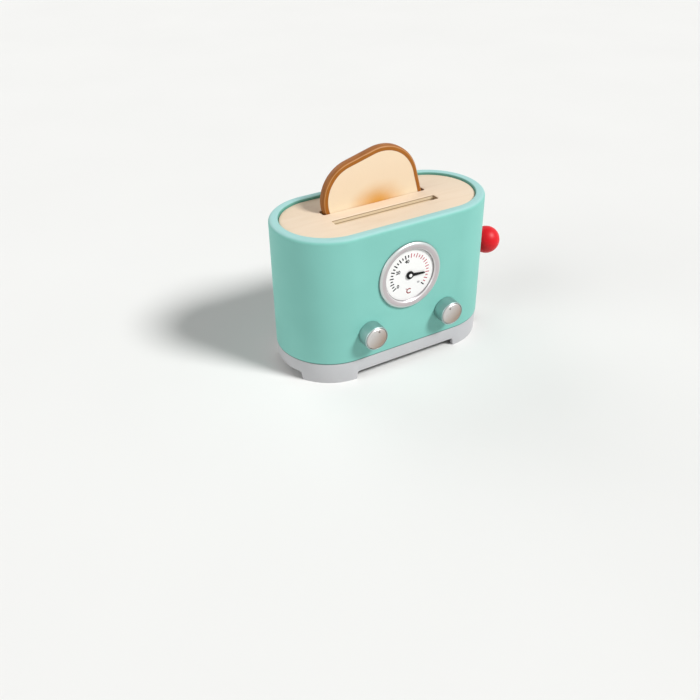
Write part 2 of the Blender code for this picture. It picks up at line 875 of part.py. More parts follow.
def make_carriage():
    axis = bpy.data.objects.new("carriage_slide", None)
    link(axis, parts)
    half_tray = tray_length / 2
    bridge_in = guide_length / 2 + guide_wall + bridge_gap
    bridge_out = bridge_in + bridge_width
    tray_y = slot_pitch / 2
    bridge_reach = tray_y + tongue_width / 2
    carriage = box("toast_carriage", (bridge_in, -bridge_reach, tray_low),
                   (bridge_out, bridge_reach, tray_top), parent=axis)
    pieces = [box("carriage_bridge_left", (-bridge_out, -bridge_reach, tray_low),
                  (-bridge_in, bridge_reach, tray_top), cutters)]
    for side in (-1, 1):
        middle = side * tray_y
        pieces.append(box(f"tray_{side}", (-half_tray, middle - tray_width / 2, tray_low),
                          (half_tray, middle + tray_width / 2, tray_top), cutters))
        pieces.append(box(f"tongue_{side}",
                          (-bridge_out + gap, middle - tongue_width / 2, tray_low + gap),
                          (bridge_out - gap, middle + tongue_width / 2, tray_top - gap),
                          cutters))
        pieces.append(box(f"lug_arm_{side}",
                          (min(side * bridge_in, side * rod_place) + gap, -arm_width / 2,
                           tray_low + gap),
                          (max(side * bridge_in, side * rod_place) - gap, arm_width / 2,
                           tray_top - gap), cutters))
        pieces.append(cylinder(f"lug_{side}", lug_radius, tray_low - lug_below,
                               tray_top + lug_above, (side * rod_place, 0),
                               collection=cutters))
    drop_far = drop_plate_place + drop_plate_thickness
    pieces.append(box("lever_arm", (rod_place, -arm_width / 2, tray_low + gap),
                      (drop_far - gap, arm_width / 2, tray_top - gap), cutters))
    pieces.append(box("drop_plate", (drop_plate_place, -drop_plate_width / 2,
                                     lever_height - drop_plate_below),
                      (drop_far, drop_plate_width / 2, tray_top), cutters))
    pieces.append(box("catch_tab", (-catch_reach, -arm_width / 2, tray_low),
                      (-rod_place, arm_width / 2, tray_top), cutters))
    add(carriage, *pieces)
    for side in (-1, 1):
        bore = cylinder(f"lug_bore_{side}", rod_radius + gap, tray_low - lug_below - overrun,
                        tray_top + lug_above + overrun, (side * rod_place, 0),
                        steps=small_round_steps, collection=cutters)
        middle = side * tray_y
        groove = box(f"tray_groove_{side}",
                     (-half_tray - overrun, middle - tray_width / 2 + tray_lip_width,
                      tray_top - tray_lip_height),
                     (half_tray + overrun, middle + tray_width / 2 - tray_lip_width,
                      tray_top + overrun), cutters)
        cut(carriage, bore, groove)
    stem_bore = cylinder("stem_bore", stem_radius + gap, drop_plate_place - overrun,
                         drop_far + overrun, (0, lever_height), "X",
                         small_round_steps, cutters)
    cut(carriage, stem_bore)
    finish(carriage, "dark_plastic")
    return axis


def make_rods_and_springs():
    for name, side in (("left", -1), ("right", 1)):
        place = (side * rod_place, 0)
        rod = cylinder("guide_rod_" + name, rod_radius, rod_boss_top - rod_seat_depth,
                       panel_low + rod_seat_depth, place, steps=small_round_steps)
        finish(rod, "steel")
        make_spring("carriage_spring_" + name, place, rod_boss_top + gap,
                    tray_low - lug_below - gap)


def make_spring(name, place, low, high):
    # A compression spring whose two ends stand square on their seats
    straight = 2 * spring_wire_radius
    climb = high - low - 2 * straight
    steps = spring_turns * spring_turn_points
    points = [Vector((spring_mean_radius, 0, low))]
    for step in range(steps + 1):
        angle = math.tau * step / spring_turn_points
        points.append(Vector((spring_mean_radius * math.cos(angle),
                              spring_mean_radius * math.sin(angle),
                              low + straight + climb * step / steps)))
    points.append(Vector((spring_mean_radius, 0, high)))
    curve = bpy.data.curves.new(name, "CURVE")
    curve.dimensions = "3D"
    curve.bevel_depth = spring_wire_radius
    curve.bevel_resolution = 1
    curve.use_fill_caps = True
    spline = curve.splines.new("POLY")
    spline.points.add(len(points) - 1)
    for point, spot in zip(spline.points, points):
        point.co = (spot.x, spot.y, spot.z, 1)
    item = link(bpy.data.objects.new(name, curve), parts)
    item.location = (*place, 0)
    curve.materials.append(make_material("spring_steel"))
    closest = min((first - second).length
                  for index, first in enumerate(points)
                  for second in points[index + spring_turn_points // 2:])
    print(f"{name}: least gap to itself {1000 * (closest - 2 * spring_wire_radius):.2f} mm")


def make_lever(axis):
    # The stem with its collar, the nut behind the drop plate and the ball
    drop_far = drop_plate_place + drop_plate_thickness
    stem_low = drop_plate_place - stem_tail
    stem_high = ball_reach - ball_radius + ball_bore_depth - gap
    collar_low = drop_far + gap
    profile = [
        (0, stem_high),
        (stem_radius, stem_high),
        (stem_radius, collar_low + stem_collar_width),
        (stem_collar_radius, collar_low + stem_collar_width),
        (stem_collar_radius, collar_low),
        (stem_radius, collar_low),
        (stem_radius, stem_low),
        (0, stem_low),
    ]
    stem = turned("lever_stem", profile, (0, 0, lever_height), "X", round_steps,
                  parent=axis)
    finish(stem, "steel")
    nut_high = drop_plate_place - gap
    nut = slab("lever_nut", [circle(stem_nut_radius, nut_sides, (0, lever_height)),
                             circle(stem_radius + gap, small_round_steps, (0, lever_height))],
               nut_high - stem_nut_thickness, nut_high, "X", parent=axis)
    finish(nut, "steel")
    mouth = stem_radius + gap
    start = math.asin(mouth / ball_radius)
    ball_arc = arc((0, 0), ball_radius, math.pi / 2, -math.pi / 2 + start, ball_steps // 2)
    profile = [(max(0, along), height) for along, height in ball_arc]
    profile[0] = (0, ball_radius)
    profile.append((mouth, -ball_radius + ball_bore_depth))
    profile.append((0, -ball_radius + ball_bore_depth))
    ball = turned("lever_ball", profile, (ball_reach, 0, lever_height), "X", ball_steps,
                  parent=axis)
    finish(ball, "red_lacquer")


def make_toast(axis):
    lift = bpy.data.objects.new("toast_lift", None)
    link(lift, parts, axis)
    outline = toast_outline()
    rise = tray_top + gap - min(up for across, up in outline)
    points = [(across - toast_offset, up + rise) for across, up in outline]
    back = slot_pitch / 2
    toast = slab("toast_slice", [points], back - toast_thickness / 2,
                 back + toast_thickness / 2, "Y", parent=lift)
    soften(toast, lambda place: True, toast_round, 3)
    finish(toast, "toast_paint")


# Latch and release magnet

def make_latch():
    pivot = bpy.data.objects.new("latch_pivot", None)
    link(pivot, parts)
    pivot.location = (-latch_place, 0, latch_height)
    tail_angle = math.asin(latch_tail_half / latch_hub_radius)
    front_angle = math.asin(latch_arm_front / latch_hub_radius)
    back_angle = math.asin(latch_arm_back / latch_hub_radius)
    quarter = math.pi / 2
    hub = arc((0, 0), latch_hub_radius, tail_angle - quarter, quarter - front_angle, hub_steps)
    hub_back = arc((0, 0), latch_hub_radius, quarter + back_angle, 3 * quarter - tail_angle,
                   hub_steps)
    outline = [(latch_tail_half, -latch_tail_low)] + hub
    outline += [
        (latch_arm_front, latch_nose_low),
        (latch_nose_reach, latch_nose_tip_low),
        (latch_nose_reach, latch_nose_tip_high),
        (latch_arm_front, latch_top),
        (-latch_arm_back, latch_top),
    ]
    outline += hub_back + [(-latch_tail_half, -latch_tail_low)]
    bore = circle(latch_pin_radius + gap, small_round_steps)
    hook = slab("latch_hook", [outline, bore], -latch_width / 2, latch_width / 2, "Y",
                parent=pivot)
    finish(hook, "steel")
    overhang = yoke_width / 2 + latch_pin_overhang
    pin = cylinder("latch_pin", latch_pin_radius, -overhang, overhang,
                   (-latch_place, latch_height), "Y", small_round_steps)
    finish(pin, "steel")


def make_magnet():
    low = deck_top + gap
    side = yoke_width / 2
    yoke = box("magnet_yoke", (-yoke_back_place, -side, low),
               (-yoke_front_place, side, low + yoke_thickness))
    back = box("yoke_back", (-yoke_back_place, -side, low),
               (-yoke_back_place + yoke_thickness, side, magnet_height + yoke_back_margin), cutters)
    add(yoke, back)
    for end in (-1, 1):
        ear_low = min(end * side, end * (side - yoke_thickness))
        ear = box(f"yoke_ear_{end}", (-yoke_ear_place, ear_low, low),
                  (-yoke_front_place, ear_low + yoke_thickness, latch_height + yoke_ear_margin),
                  cutters)
        add(yoke, ear)
    pin_hole = cylinder("yoke_pin_hole", latch_pin_radius + gap, -side - overrun,
                        side + overrun, (-latch_place, latch_height), "Y",
                        small_round_steps, cutters)
    core_hole = cylinder("yoke_core_hole", core_radius + gap, -yoke_back_place - overrun,
                         -yoke_back_place + yoke_thickness + overrun, (0, magnet_height),
                         "X", small_round_steps, cutters)
    cut(yoke, pin_hole, core_hole)
    finish(yoke, "steel")
    face = -core_face_place
    tail = -yoke_back_place
    core_profile = [
        (0, face),
        (core_shoe_radius, face),
        (core_shoe_radius, face - core_shoe_thickness),
        (core_radius, face - core_shoe_thickness),
        (core_radius, tail),
        (0, tail),
    ]
    core = turned("magnet_core", core_profile, (0, 0, magnet_height), "X", round_steps)
    finish(core, "steel")
    coil_high = face - core_shoe_thickness - gap
    coil_low = -yoke_back_place + yoke_thickness + gap
    bore = core_radius + gap
    coil_profile = [
        (bore, coil_high),
        (coil_radius, coil_high),
        (coil_radius, coil_high - coil_cheek),
        (coil_wound_radius, coil_high - coil_cheek),
        (coil_wound_radius, coil_low + coil_cheek),
        (coil_radius, coil_low + coil_cheek),
        (coil_radius, coil_low),
        (bore, coil_low),
    ]
    coil = turned("magnet_coil", coil_profile, (0, 0, magnet_height), "X", round_steps,
                  ring=True)
    finish(coil, "copper_wire")


def make_board():
    low = deck_top + standoff_height + gap
    high = low + board_thickness
    board = slab("circuit_board", [rounded_box(board_length, board_width, board_corner,
                                               (0, board_centre_y))], low, high)
    for index, place in enumerate(board_screw_places()):
        hole = cylinder(f"board_hole_{index}", screw_radius + gap, low - overrun,
                        high + overrun, place, steps=small_round_steps, collection=cutters)
        cut(board, hole)
    finish(board, "board_green")
    chip = box("timer_chip", (chip_place_x - chip_length / 2, board_centre_y - chip_width / 2,
                              high + gap),
               (chip_place_x + chip_length / 2, board_centre_y + chip_width / 2,
                high + gap + chip_height))
    finish(chip, "dark_plastic")
    for name, place in zip(("left", "right"), board_screw_places()[::3]):
        make_screw("board_screw_" + name, place, high + gap, short_screw_grip, upwards=False)


# Gauge

def make_gauge():
    place = (0, -half_depth, gauge_height)
    middle = (bezel_outer_radius + bezel_inner_radius) / 2
    half = (bezel_outer_radius - bezel_inner_radius) / 2
    crown = []
    for along, up in arc((0, 0), 1, math.pi, 0, crown_steps):
        crown.append((middle + half * along, gap + bezel_rise * up))
    bezel_profile = crown + [
        (spigot_outer_radius, gap),
        (spigot_outer_radius, -spigot_depth),
        (spigot_inner_radius, -spigot_depth),
        (spigot_inner_radius, gap),
    ]
    bezel = turned("gauge_bezel", bezel_profile, place, "Y", wide_circle_steps, ring=True)
    finish(bezel, "silver_plastic")
    hole = hand_pin_radius + gap
    disc = spigot_inner_radius - gap
    dial_profile = [(hole, 0), (disc, 0), (disc, -dial_thickness), (hole, -dial_thickness)]
    dial = turned("gauge_dial", dial_profile, place, "Y", wide_circle_steps, ring=True)
    finish(dial, "white_print")
    plate_top = -dial_thickness - gap
    plate_low = plate_top - backplate_thickness
    plate_profile = [(hole, plate_top), (disc, plate_top), (disc, plate_low), (hole, plate_low)]
    plate = turned("gauge_backplate", plate_profile, place, "Y", round_steps, ring=True)
    finish(plate, "grey_plastic")
    hand_low = gap
    hand_high = hand_low + hand_thickness
    pivot = bpy.data.objects.new("hand_pivot", None)
    link(pivot, parts)
    pivot.location = place
    start = math.pi / 2 + math.asin(hand_half_width / hand_hub_radius)
    tip = (0, hand_length - hand_tip_half_width)
    outline = arc((0, 0), hand_hub_radius, start, math.tau + math.pi - start, 2 * hub_steps)
    outline += arc(tip, hand_tip_half_width, 0, math.pi, hub_steps // 2)
    hand = slab("gauge_hand", [outline, circle(hole, small_round_steps)], -hand_high, -hand_low,
                "Y", parent=pivot)
    pivot.rotation_euler = (0, hand_turn, 0)
    finish(hand, "black_print")
    head_low = hand_high + gap
    head_high = head_low + hand_pin_head_height
    tail = plate_low - gap
    pin_profile = [
        (0, head_high),
        (hand_pin_head_radius / 2, head_high),
        (hand_pin_head_radius, head_low),
        (hand_pin_radius, head_low),
        (hand_pin_radius, tail),
        (hand_pin_head_radius, tail),
        (hand_pin_head_radius, tail - hand_pin_head_height),
        (0, tail - hand_pin_head_height),
    ]
    pin = turned("hand_pin", pin_profile, place, "Y", small_round_steps)
    finish(pin, "white_print")


# Knobs

def make_knobs():
    for name, side, turn in (("left", -1, left_knob_turn), ("right", 1, right_knob_turn)):
        place = (side * knob_place, -half_depth, knob_height)
        groove = shaft_radius - shaft_groove_depth
        recess = knob_face_radius - knob_rim
        profile = [
            (0, knob_length - knob_recess),
            (recess, knob_length - knob_recess),
            (recess, knob_length),
            (knob_face_radius - knob_edge, knob_length),
            (knob_face_radius, knob_length - knob_edge),
            (knob_radius, gap),
            (knob_radius - knob_wall, gap),
            (knob_radius - knob_wall, knob_length - knob_floor),
            (shaft_radius, knob_length - knob_floor),
            (shaft_radius, -shaft_groove_place),
            (groove, -shaft_groove_place),
            (groove, -shaft_groove_place - shaft_groove_width),
            (shaft_radius, -shaft_groove_place - shaft_groove_width),
            (shaft_radius - knob_edge, -shaft_length),
            (0, -shaft_length),
        ]
        knob = turned("knob_" + name, profile, place, "Y", knob_steps)
        finish(knob, "silver_plastic")
        cap_low = knob_length - knob_recess + gap
        cap_edge = knob_length + cap_rise
        cap_radius = recess - gap
        cap_profile = [(0, cap_edge + cap_dome)]
        for step in range(1, cap_rings):
            share = step / cap_rings
            cap_profile.append((cap_radius * share, cap_edge + cap_dome * (1 - share ** 2)))
        cap_profile += [
            (cap_radius - knob_edge, cap_edge),
            (cap_radius, cap_edge - knob_edge),
            (cap_radius, cap_low),
            (0, cap_low),
        ]
        cap = turned("knob_cap_" + name, cap_profile, place, "Y", knob_steps)
        dimple = bpy.data.objects.new(f"dimple_{name}", bpy.data.meshes.new(f"dimple_{name}"))
        link(dimple, cutters)
        ball = bmesh.new()
        bmesh.ops.create_uvsphere(ball, u_segments=10, v_segments=6, radius=cap_dimple_radius)
        ball.to_mesh(dimple.data)
        ball.free()
        dimple.location = (place[0] + cap_dimple_place * math.sin(turn),
                           place[1] - cap_edge - cap_dome,
                           place[2] + cap_dimple_place * math.cos(turn))
        cut(cap, dimple)
        finish(cap, "silver_plastic")
        bush_profile = [
            (shaft_radius + gap, 0),
            (bush_radius, 0),
            (bush_radius, -shell_wall - gap),
            (bush_flange_radius, -shell_wall - gap),
            (bush_flange_radius, -shell_wall - gap - bush_flange_thickness),
            (bush_radius, -shell_wall - gap - bush_flange_thickness),
            (bush_radius, -bush_length),
            (shaft_radius + gap, -bush_length),
        ]
        bush = turned("knob_bush_" + name, bush_profile, place, "Y", small_round_steps, ring=True)
        finish(bush, "milky_plastic")
        clip_high = -shaft_groove_place - gap
        clip_low = -shaft_groove_place - shaft_groove_width + gap
        clip_profile = [(groove + gap, clip_high), (clip_radius, clip_high),
                        (clip_radius, clip_low), (groove + gap, clip_low)]
        clip = turned("knob_clip_" + name, clip_profile, place, "Y", round_steps, ring=True)
        finish(clip, "spring_steel")


make_shell()
make_top_panel()
make_base()
make_battery_bay()
make_body_screws()
make_bread_guides()
carriage_slide = make_carriage()
make_rods_and_springs()
make_lever(carriage_slide)
make_toast(carriage_slide)
make_latch()
make_magnet()
make_board()
make_gauge()
make_knobs()
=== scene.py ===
import json
import math

import bmesh
import bpy
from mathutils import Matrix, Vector

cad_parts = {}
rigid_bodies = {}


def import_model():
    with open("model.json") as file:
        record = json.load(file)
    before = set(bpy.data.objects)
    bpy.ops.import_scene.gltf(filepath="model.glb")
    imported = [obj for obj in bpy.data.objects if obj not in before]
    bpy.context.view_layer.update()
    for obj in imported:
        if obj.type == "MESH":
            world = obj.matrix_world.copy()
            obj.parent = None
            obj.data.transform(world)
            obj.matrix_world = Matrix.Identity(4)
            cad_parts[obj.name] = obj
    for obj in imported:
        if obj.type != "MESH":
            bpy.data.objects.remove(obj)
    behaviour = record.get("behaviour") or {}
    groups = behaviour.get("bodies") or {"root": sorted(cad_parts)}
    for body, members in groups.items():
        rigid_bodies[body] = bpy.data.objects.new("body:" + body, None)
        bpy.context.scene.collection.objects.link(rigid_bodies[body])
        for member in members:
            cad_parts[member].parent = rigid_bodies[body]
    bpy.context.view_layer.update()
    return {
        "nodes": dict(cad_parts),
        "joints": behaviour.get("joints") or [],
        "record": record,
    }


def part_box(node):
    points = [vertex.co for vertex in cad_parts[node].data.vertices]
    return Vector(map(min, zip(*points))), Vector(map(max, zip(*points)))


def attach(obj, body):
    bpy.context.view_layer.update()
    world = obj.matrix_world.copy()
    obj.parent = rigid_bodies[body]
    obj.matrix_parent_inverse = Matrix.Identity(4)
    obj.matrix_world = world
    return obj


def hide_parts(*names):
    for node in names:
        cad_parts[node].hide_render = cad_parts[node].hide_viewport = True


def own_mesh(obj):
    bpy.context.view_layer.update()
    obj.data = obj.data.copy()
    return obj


for leftOver in list(bpy.data.objects):
    bpy.data.objects.remove(leftOver, do_unlink=True)

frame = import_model()
shellLow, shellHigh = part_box("body_shell")
bodyMiddle = Vector(((shellLow.x + shellHigh.x) / 2, (shellLow.y + shellHigh.y) / 2, 0))
tiny = 0.00001  # closer than this is the same place
mergeDistance = 0.000002
smoothDegrees = 32
print("frame loaded:", len(frame["nodes"]), "nodes")

scene = bpy.context.scene
scene.view_settings.view_transform = "Standard"


def spanOf(node):
    # A node's lowest and highest corners from the body's middle, to 0.01 mm
    return [[round(value, 5) for value in corner - bodyMiddle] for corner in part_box(node)]


def middleOf(node):
    low, high = spanOf(node)
    return [(a + b) / 2 for a, b in zip(low, high)]


leverHeight = middleOf("lever_stem")[2]
leverTravel = next(joint["range_m"][1] for joint in frame["joints"]
                   if joint["name"] == "lever_slide")


# Camera, light and backdrop

cameraSizes = {
    "place": (-0.32808, -0.49432, 0.38838), "turnDegrees": (55.6687, 0.7256, -30.0564),
    "lens": 41.380, "sensor": 36.0, "near": 0.01, "far": 20,
}


def makeCamera():
    data = bpy.data.cameras.new("studioCamera")
    data.lens = cameraSizes["lens"]
    data.sensor_width = cameraSizes["sensor"]
    data.sensor_fit = "HORIZONTAL"
    data.clip_start = cameraSizes["near"]
    data.clip_end = cameraSizes["far"]
    camera = bpy.data.objects.new("studioCamera", data)
    camera.location = cameraSizes["place"]
    camera.rotation_euler = [math.radians(angle) for angle in cameraSizes["turnDegrees"]]
    scene.collection.objects.link(camera)
    scene.camera = camera


lampSizes = {  # where each far, broad lamp stands, how wide it looks in degrees, its strength
    "keyLamp": ((1.45, -2.0, 2.45), 15.0, 3.12),
    "fillLamp": ((-2.6, -0.2, 1.5), 40.0, 0.95),
    "backLamp": ((-0.6, 2.4, 1.5), 40.0, 0.7),
}


def makeLamps():
    for name, (place, width, strength) in lampSizes.items():
        data = bpy.data.lights.new(name, "SUN")
        data.angle = math.radians(width)
        data.energy = strength
        lamp = bpy.data.objects.new(name, data)
        lamp.location = place
        lamp.rotation_euler = (-Vector(place)).to_track_quat("-Z", "Y").to_euler()
        scene.collection.objects.link(lamp)


worldSizes = {"light": 0.15, "seen": 0.93}


def makeWorld():
    # Dim light from all round, and a paler backdrop for the camera and for reflections
    world = bpy.data.worlds.new("studioWorld")
    scene.world = world
    world.use_nodes = True
    nodes = world.node_tree.nodes
    links = world.node_tree.links
    light = nodes["Background"]
    seen = nodes.new("ShaderNodeBackground")
    for backdrop, strength in ((light, worldSizes["light"]), (seen, worldSizes["seen"])):
        backdrop.inputs["Color"].default_value = (1, 1, 1, 1)
        backdrop.inputs["Strength"].default_value = strength
    path = nodes.new("ShaderNodeLightPath")
    seenBy = path.outputs["Is Camera Ray"]
    for ray in ("Is Glossy Ray", "Is Transmission Ray"):
        either = nodes.new("ShaderNodeMath")
        either.operation = "MAXIMUM"
        links.new(seenBy, either.inputs[0])
        links.new(path.outputs[ray], either.inputs[1])
        seenBy = either.outputs[0]
    choose = nodes.new("ShaderNodeMixShader")
    links.new(seenBy, choose.inputs["Fac"])
    links.new(light.outputs[0], choose.inputs[1])
    links.new(seen.outputs[0], choose.inputs[2])
    links.new(choose.outputs[0], nodes["World Output"].inputs["Surface"])


# Finishes: an expression on fields adds its own nodes

def tint(red, green, blue):
    # A colour written from 0 to 255, as the linear values that a socket takes
    channels = []
    for value in (red, green, blue):
        part = value / 255
        channels.append(part / 12.92 if part <= 0.04045 else ((part + 0.055) / 1.055) ** 2.4)
    return (*channels, 1)


class Field:  # a socket that adds, scales and compares like a number
    def __init__(self, finish, socket):
        self.finish = finish
        self.socket = socket

    def math(self, operation, *others, clamp=False):
        settings = {"operation": operation, "use_clamp": clamp}
        return self.finish.node("Math", settings, dict(enumerate((self, *others))))

    def __add__(self, other):
        return self.math("ADD", other)

    def __sub__(self, other):
        return self.math("SUBTRACT", other)

    def __mul__(self, other):
        return self.math("MULTIPLY", other)

    def __truediv__(self, other):
        return self.math("DIVIDE", other)

    def after(self, first, operation):
        # An operation with another value first
        return self.finish.node("Math", {"operation": operation}, {0: first, 1: self})

    def __rsub__(self, other):
        return self.after(other, "SUBTRACT")

    def __rtruediv__(self, other):
        return self.after(other, "DIVIDE")

    __radd__ = __add__
    __rmul__ = __mul__

    def clamped(self):
        return self.math("ADD", 0.0, clamp=True)

    def size(self):
        return self.math("ABSOLUTE")

    def squared(self):
        return self.math("POWER", 2.0)

    def step(self, low, high):
        # Rises smoothly from 0 at low to 1 at high
        return self.finish.node("MapRange", {"interpolation_type": "SMOOTHSTEP"},
                                {"Value": self, "From Min": low, "From Max": high})

    def mask(self, low, high, share):
        # The same, but it rises only to a share
        return self.step(low, high) * share

    def bell(self, centre, width):
        # 1 at the centre, 0 from a width away
        return 1 - (self - centre).size().step(0.0, width)


class Finish:  # a material and its Principled shader
    def __init__(self, name, colour, **constants):
        self.material = bpy.data.materials.new(name)
        self.material.use_nodes = True
        self.tree = self.material.node_tree
        self.shader = self.tree.nodes["Principled BSDF"]
        self.set("Base Color", tint(*colour))  # for a program that reads no nodes
        for socket, value in constants.items():
            self.set(socket.replace("_", " "), value)

    def set(self, socket, value):
        self.join(value, self.shader.inputs[socket])

    def vary(self, socket, span, mask):
        # A socket that goes from one value to another as a mask rises from 0 to 1
        start, end = span
        self.set(socket, start + mask * (end - start))

    def join(self, value, socket):
        if isinstance(value, Field):
            self.tree.links.new(value.socket, socket)
        else:
            socket.default_value = value

    def node(self, kind, settings=None, values=None, output=0):
        # A node of a type, its settings first, then the values or links of its sockets
        node = self.tree.nodes.new("ShaderNode" + kind)
        for name, value in (settings or {}).items():
            setattr(node, name, value)
        for name, value in (values or {}).items():
            self.join(value, node.inputs[name])
        return Field(self, node.outputs[output])

    def place(self, scale=(1, 1, 1), move=(0, 0, 0)):
        coordinates = self.node("TexCoord", output="Object")
        return self.node("Mapping", None, {"Vector": coordinates, "Location": move,
                                           "Scale": scale})

    def axes(self):
        # Places across, away and up, measured from the body's middle
        split = self.node("SeparateXYZ", None, {0: self.place(move=-bodyMiddle)})
        return [Field(self, split.socket.node.outputs[index]) for index in range(3)]

    def noise(self, scale, detail, roughness=0.5, distortion=0.0, place=None):
        return self.node("TexNoise", None, {"Vector": place or self.place(), "Scale": scale,
                                            "Detail": detail, "Roughness": roughness,
                                            "Distortion": distortion})

    def mix(self, first, second, factor):
        # Each end is a field, or a colour written from 0 to 255
        first, second = [end if isinstance(end, Field) else tint(*end) for end in (first, second)]
        return self.node("Mix", {"data_type": "RGBA"}, {0: factor, 6: first, 7: second}, output=2)

    def bump(self, height, depth, strength=1.0):
        self.set("Normal", self.node("Bump", None, {"Height": height, "Distance": depth,
                                                    "Strength": strength}))

    def complete(self, sizes, colour, gloss, height=None):
        # Colour it, vary its gloss by one mask, and raise its surface by the same or another
        self.set("Base Color", colour)
        self.vary("Roughness", sizes["roughness"], gloss)
        self.bump(height or gloss, *sizes["relief"])
        return self.material


# In each finish's dictionary a colour runs from 0 to 255, and a noise is its scale, detail,
# roughness and distortion. A span is where a smooth rise starts and ends, a mask also says how
# far it rises, and relief is the depth and strength of a bump.

softPatches = (0.35, 0.7)  # the span between the two colours of soft clouding

mouldedSizes = {"clouds": (30.0, 2.0), "patches": (0.3, 0.75), "grains": (2.0, 0.6),
                "gloss": (-0.06, 0.06)}


def moulded(name, colour, shade, roughness, grain=0.00003, scale=1500.0, shine=0.5):
    # A plain moulded or painted surface: faint clouding, fine grain in its gloss and surface
    s = mouldedSizes
    finish = Finish(name, colour, Specular_IOR_Level=shine)
    cloud = finish.noise(*s["clouds"])
    grains = finish.noise(scale, *s["grains"])
    finish.set("Base Color", finish.mix(colour, shade, cloud.step(*s["patches"])))
    finish.vary("Roughness", [roughness + change for change in s["gloss"]], grains)
    finish.bump(grains, grain)
    return finish.material


metalSizes = {"clouds": (45.0, 2.0), "marks": (500.0, 3.0, 0.6), "gloss": (-0.04, 0.06),
              "relief": (0.000004, 1.0)}


def metal(name, colour, shade, roughness, markScale=(1, 1, 1)):
    # Metal or metallised plastic with fine marks, drawn out where their scale is below 1
    s = metalSizes
    finish = Finish(name, colour, Metallic=1.0)
    cloud = finish.noise(*s["clouds"])
    marks = finish.noise(*s["marks"], place=finish.place(markScale))
    finish.set("Base Color", finish.mix(colour, shade, cloud.step(*softPatches)))
    finish.vary("Roughness", [roughness + change for change in s["gloss"]], marks)
    finish.bump(marks, *s["relief"])
    return finish.material


# Modelling by hand: primitives, selections by place, edits and modifiers

axisTurns = {"X": (0, math.pi / 2, 0), "Y": (math.pi / 2, 0, 0), "Z": (0, 0, 0)}


def deselect():
    if bpy.context.object and bpy.context.object.mode != "OBJECT":
        bpy.ops.object.mode_set(mode="OBJECT")
    bpy.ops.object.select_all(action="DESELECT")


def select(piece):
    deselect()
    piece.select_set(True)
    bpy.context.view_layer.objects.active = piece
    return piece


def settlePlace(name=None):
    # Put the active piece's place, turn and size into its mesh
    piece = select(bpy.context.object)
    if name:
        piece.name = name
    bpy.ops.object.transform_apply(location=True, rotation=True, scale=True)
    return piece


def putAt(piece, place, turn=(0, 0, 0)):
    piece.location = place
    piece.rotation_euler = turn
    select(piece)
    return settlePlace()


def addBlock(name, low, high):
    deselect()
    bpy.ops.mesh.primitive_cube_add(
        size=1, location=[(a + b) / 2 for a, b in zip(low, high)],
        scale=[b - a for a, b in zip(low, high)])
    return settlePlace(name)


def addRound(name, radius, low, high, place, axis="Z", steps=64):
    # A round bar along Y or Z, through the other two coordinates
    deselect()
    half = (low + high) / 2
    centre = {"Y": (place[0], half, place[1]), "Z": (*place, half)}[axis]
    bpy.ops.mesh.primitive_cylinder_add(vertices=steps, radius=radius, depth=high - low,
                                        location=centre, rotation=axisTurns[axis])
    return settlePlace(name)


def edit(piece):
    select(piece)
    bpy.ops.object.mode_set(mode="EDIT")
    bpy.ops.mesh.select_all(action="DESELECT")


def pick(kind, test):
    bpy.ops.mesh.select_mode(type=kind)
    bpy.ops.mesh.select_all(action="DESELECT")
    mesh = bmesh.from_edit_mesh(bpy.context.object.data)
    for part in {"VERT": mesh.verts, "EDGE": mesh.edges, "FACE": mesh.faces}[kind]:
        if test(part):
            part.select_set(True)
    bmesh.update_edit_mesh(bpy.context.object.data)


def level(axis, value):
    # True for an edge or face that lies wholly at one value on an axis
    return lambda part: all(abs(vert.co[axis] - value) < tiny for vert in part.verts)


def along(axis):
    # True for an edge that runs along an axis
    def test(edge):
        way = edge.verts[1].co - edge.verts[0].co
        return abs(way[axis]) > 0.999 * way.length
    return test


def both(*tests):
    return lambda part: all(test(part) for test in tests)


def extrude(x, y, z):
    bpy.ops.mesh.extrude_region_move(TRANSFORM_OT_translate={"value": (x, y, z)})


def mergeAll(outwards=True):
    bpy.ops.mesh.select_all(action="SELECT")
    bpy.ops.mesh.remove_doubles(threshold=mergeDistance)
    if outwards:
        bpy.ops.mesh.normals_make_consistent(inside=False)


def bevelEdges(test, width, segments):
    pick("EDGE", test)
    bpy.ops.mesh.bevel(offset=width, segments=segments, profile=0.5, affect="EDGES",
                       clamp_overlap=False)


def shape(piece, kind, **settings):
    # Add one modifier and apply it
    select(piece)
    modifier = piece.modifiers.new(kind.lower(), kind)
    for name, value in settings.items():
        setattr(modifier, name, value)
    bpy.ops.object.modifier_apply(modifier=modifier.name)


def carve(piece, cutter, operation="DIFFERENCE"):
    shape(piece, "BOOLEAN", operation=operation, solver="EXACT", object=cutter)
    bpy.data.objects.remove(cutter, do_unlink=True)
    edit(piece)
    mergeAll(False)
    deselect()


def soften(piece, width, segments, degrees=40):
    shape(piece, "BEVEL", width=width, segments=segments, limit_method="ANGLE",
          angle_limit=math.radians(degrees), harden_normals=False)


def spun(name, profile, centre, axis="Y", steps=96):
    # A turned piece: pairs of radius and height along the axis, out of the front on Y
    deselect()
    bpy.ops.mesh.primitive_circle_add(vertices=len(profile), radius=1)
    piece = settlePlace(name)
    for vert, (radius, height) in zip(piece.data.vertices, profile):
        vert.co = (radius, 0, height)
    edit(piece)
    pick("EDGE", lambda edge: all(vert.co.x < tiny for vert in edge.verts))
    bpy.ops.mesh.delete(type="EDGE")
    bpy.ops.mesh.select_all(action="SELECT")
    bpy.ops.mesh.spin(steps=steps, angle=math.tau, center=(0, 0, 0), axis=(0, 0, 1))
    mergeAll()
    deselect()
    return putAt(piece, centre, axisTurns[axis])


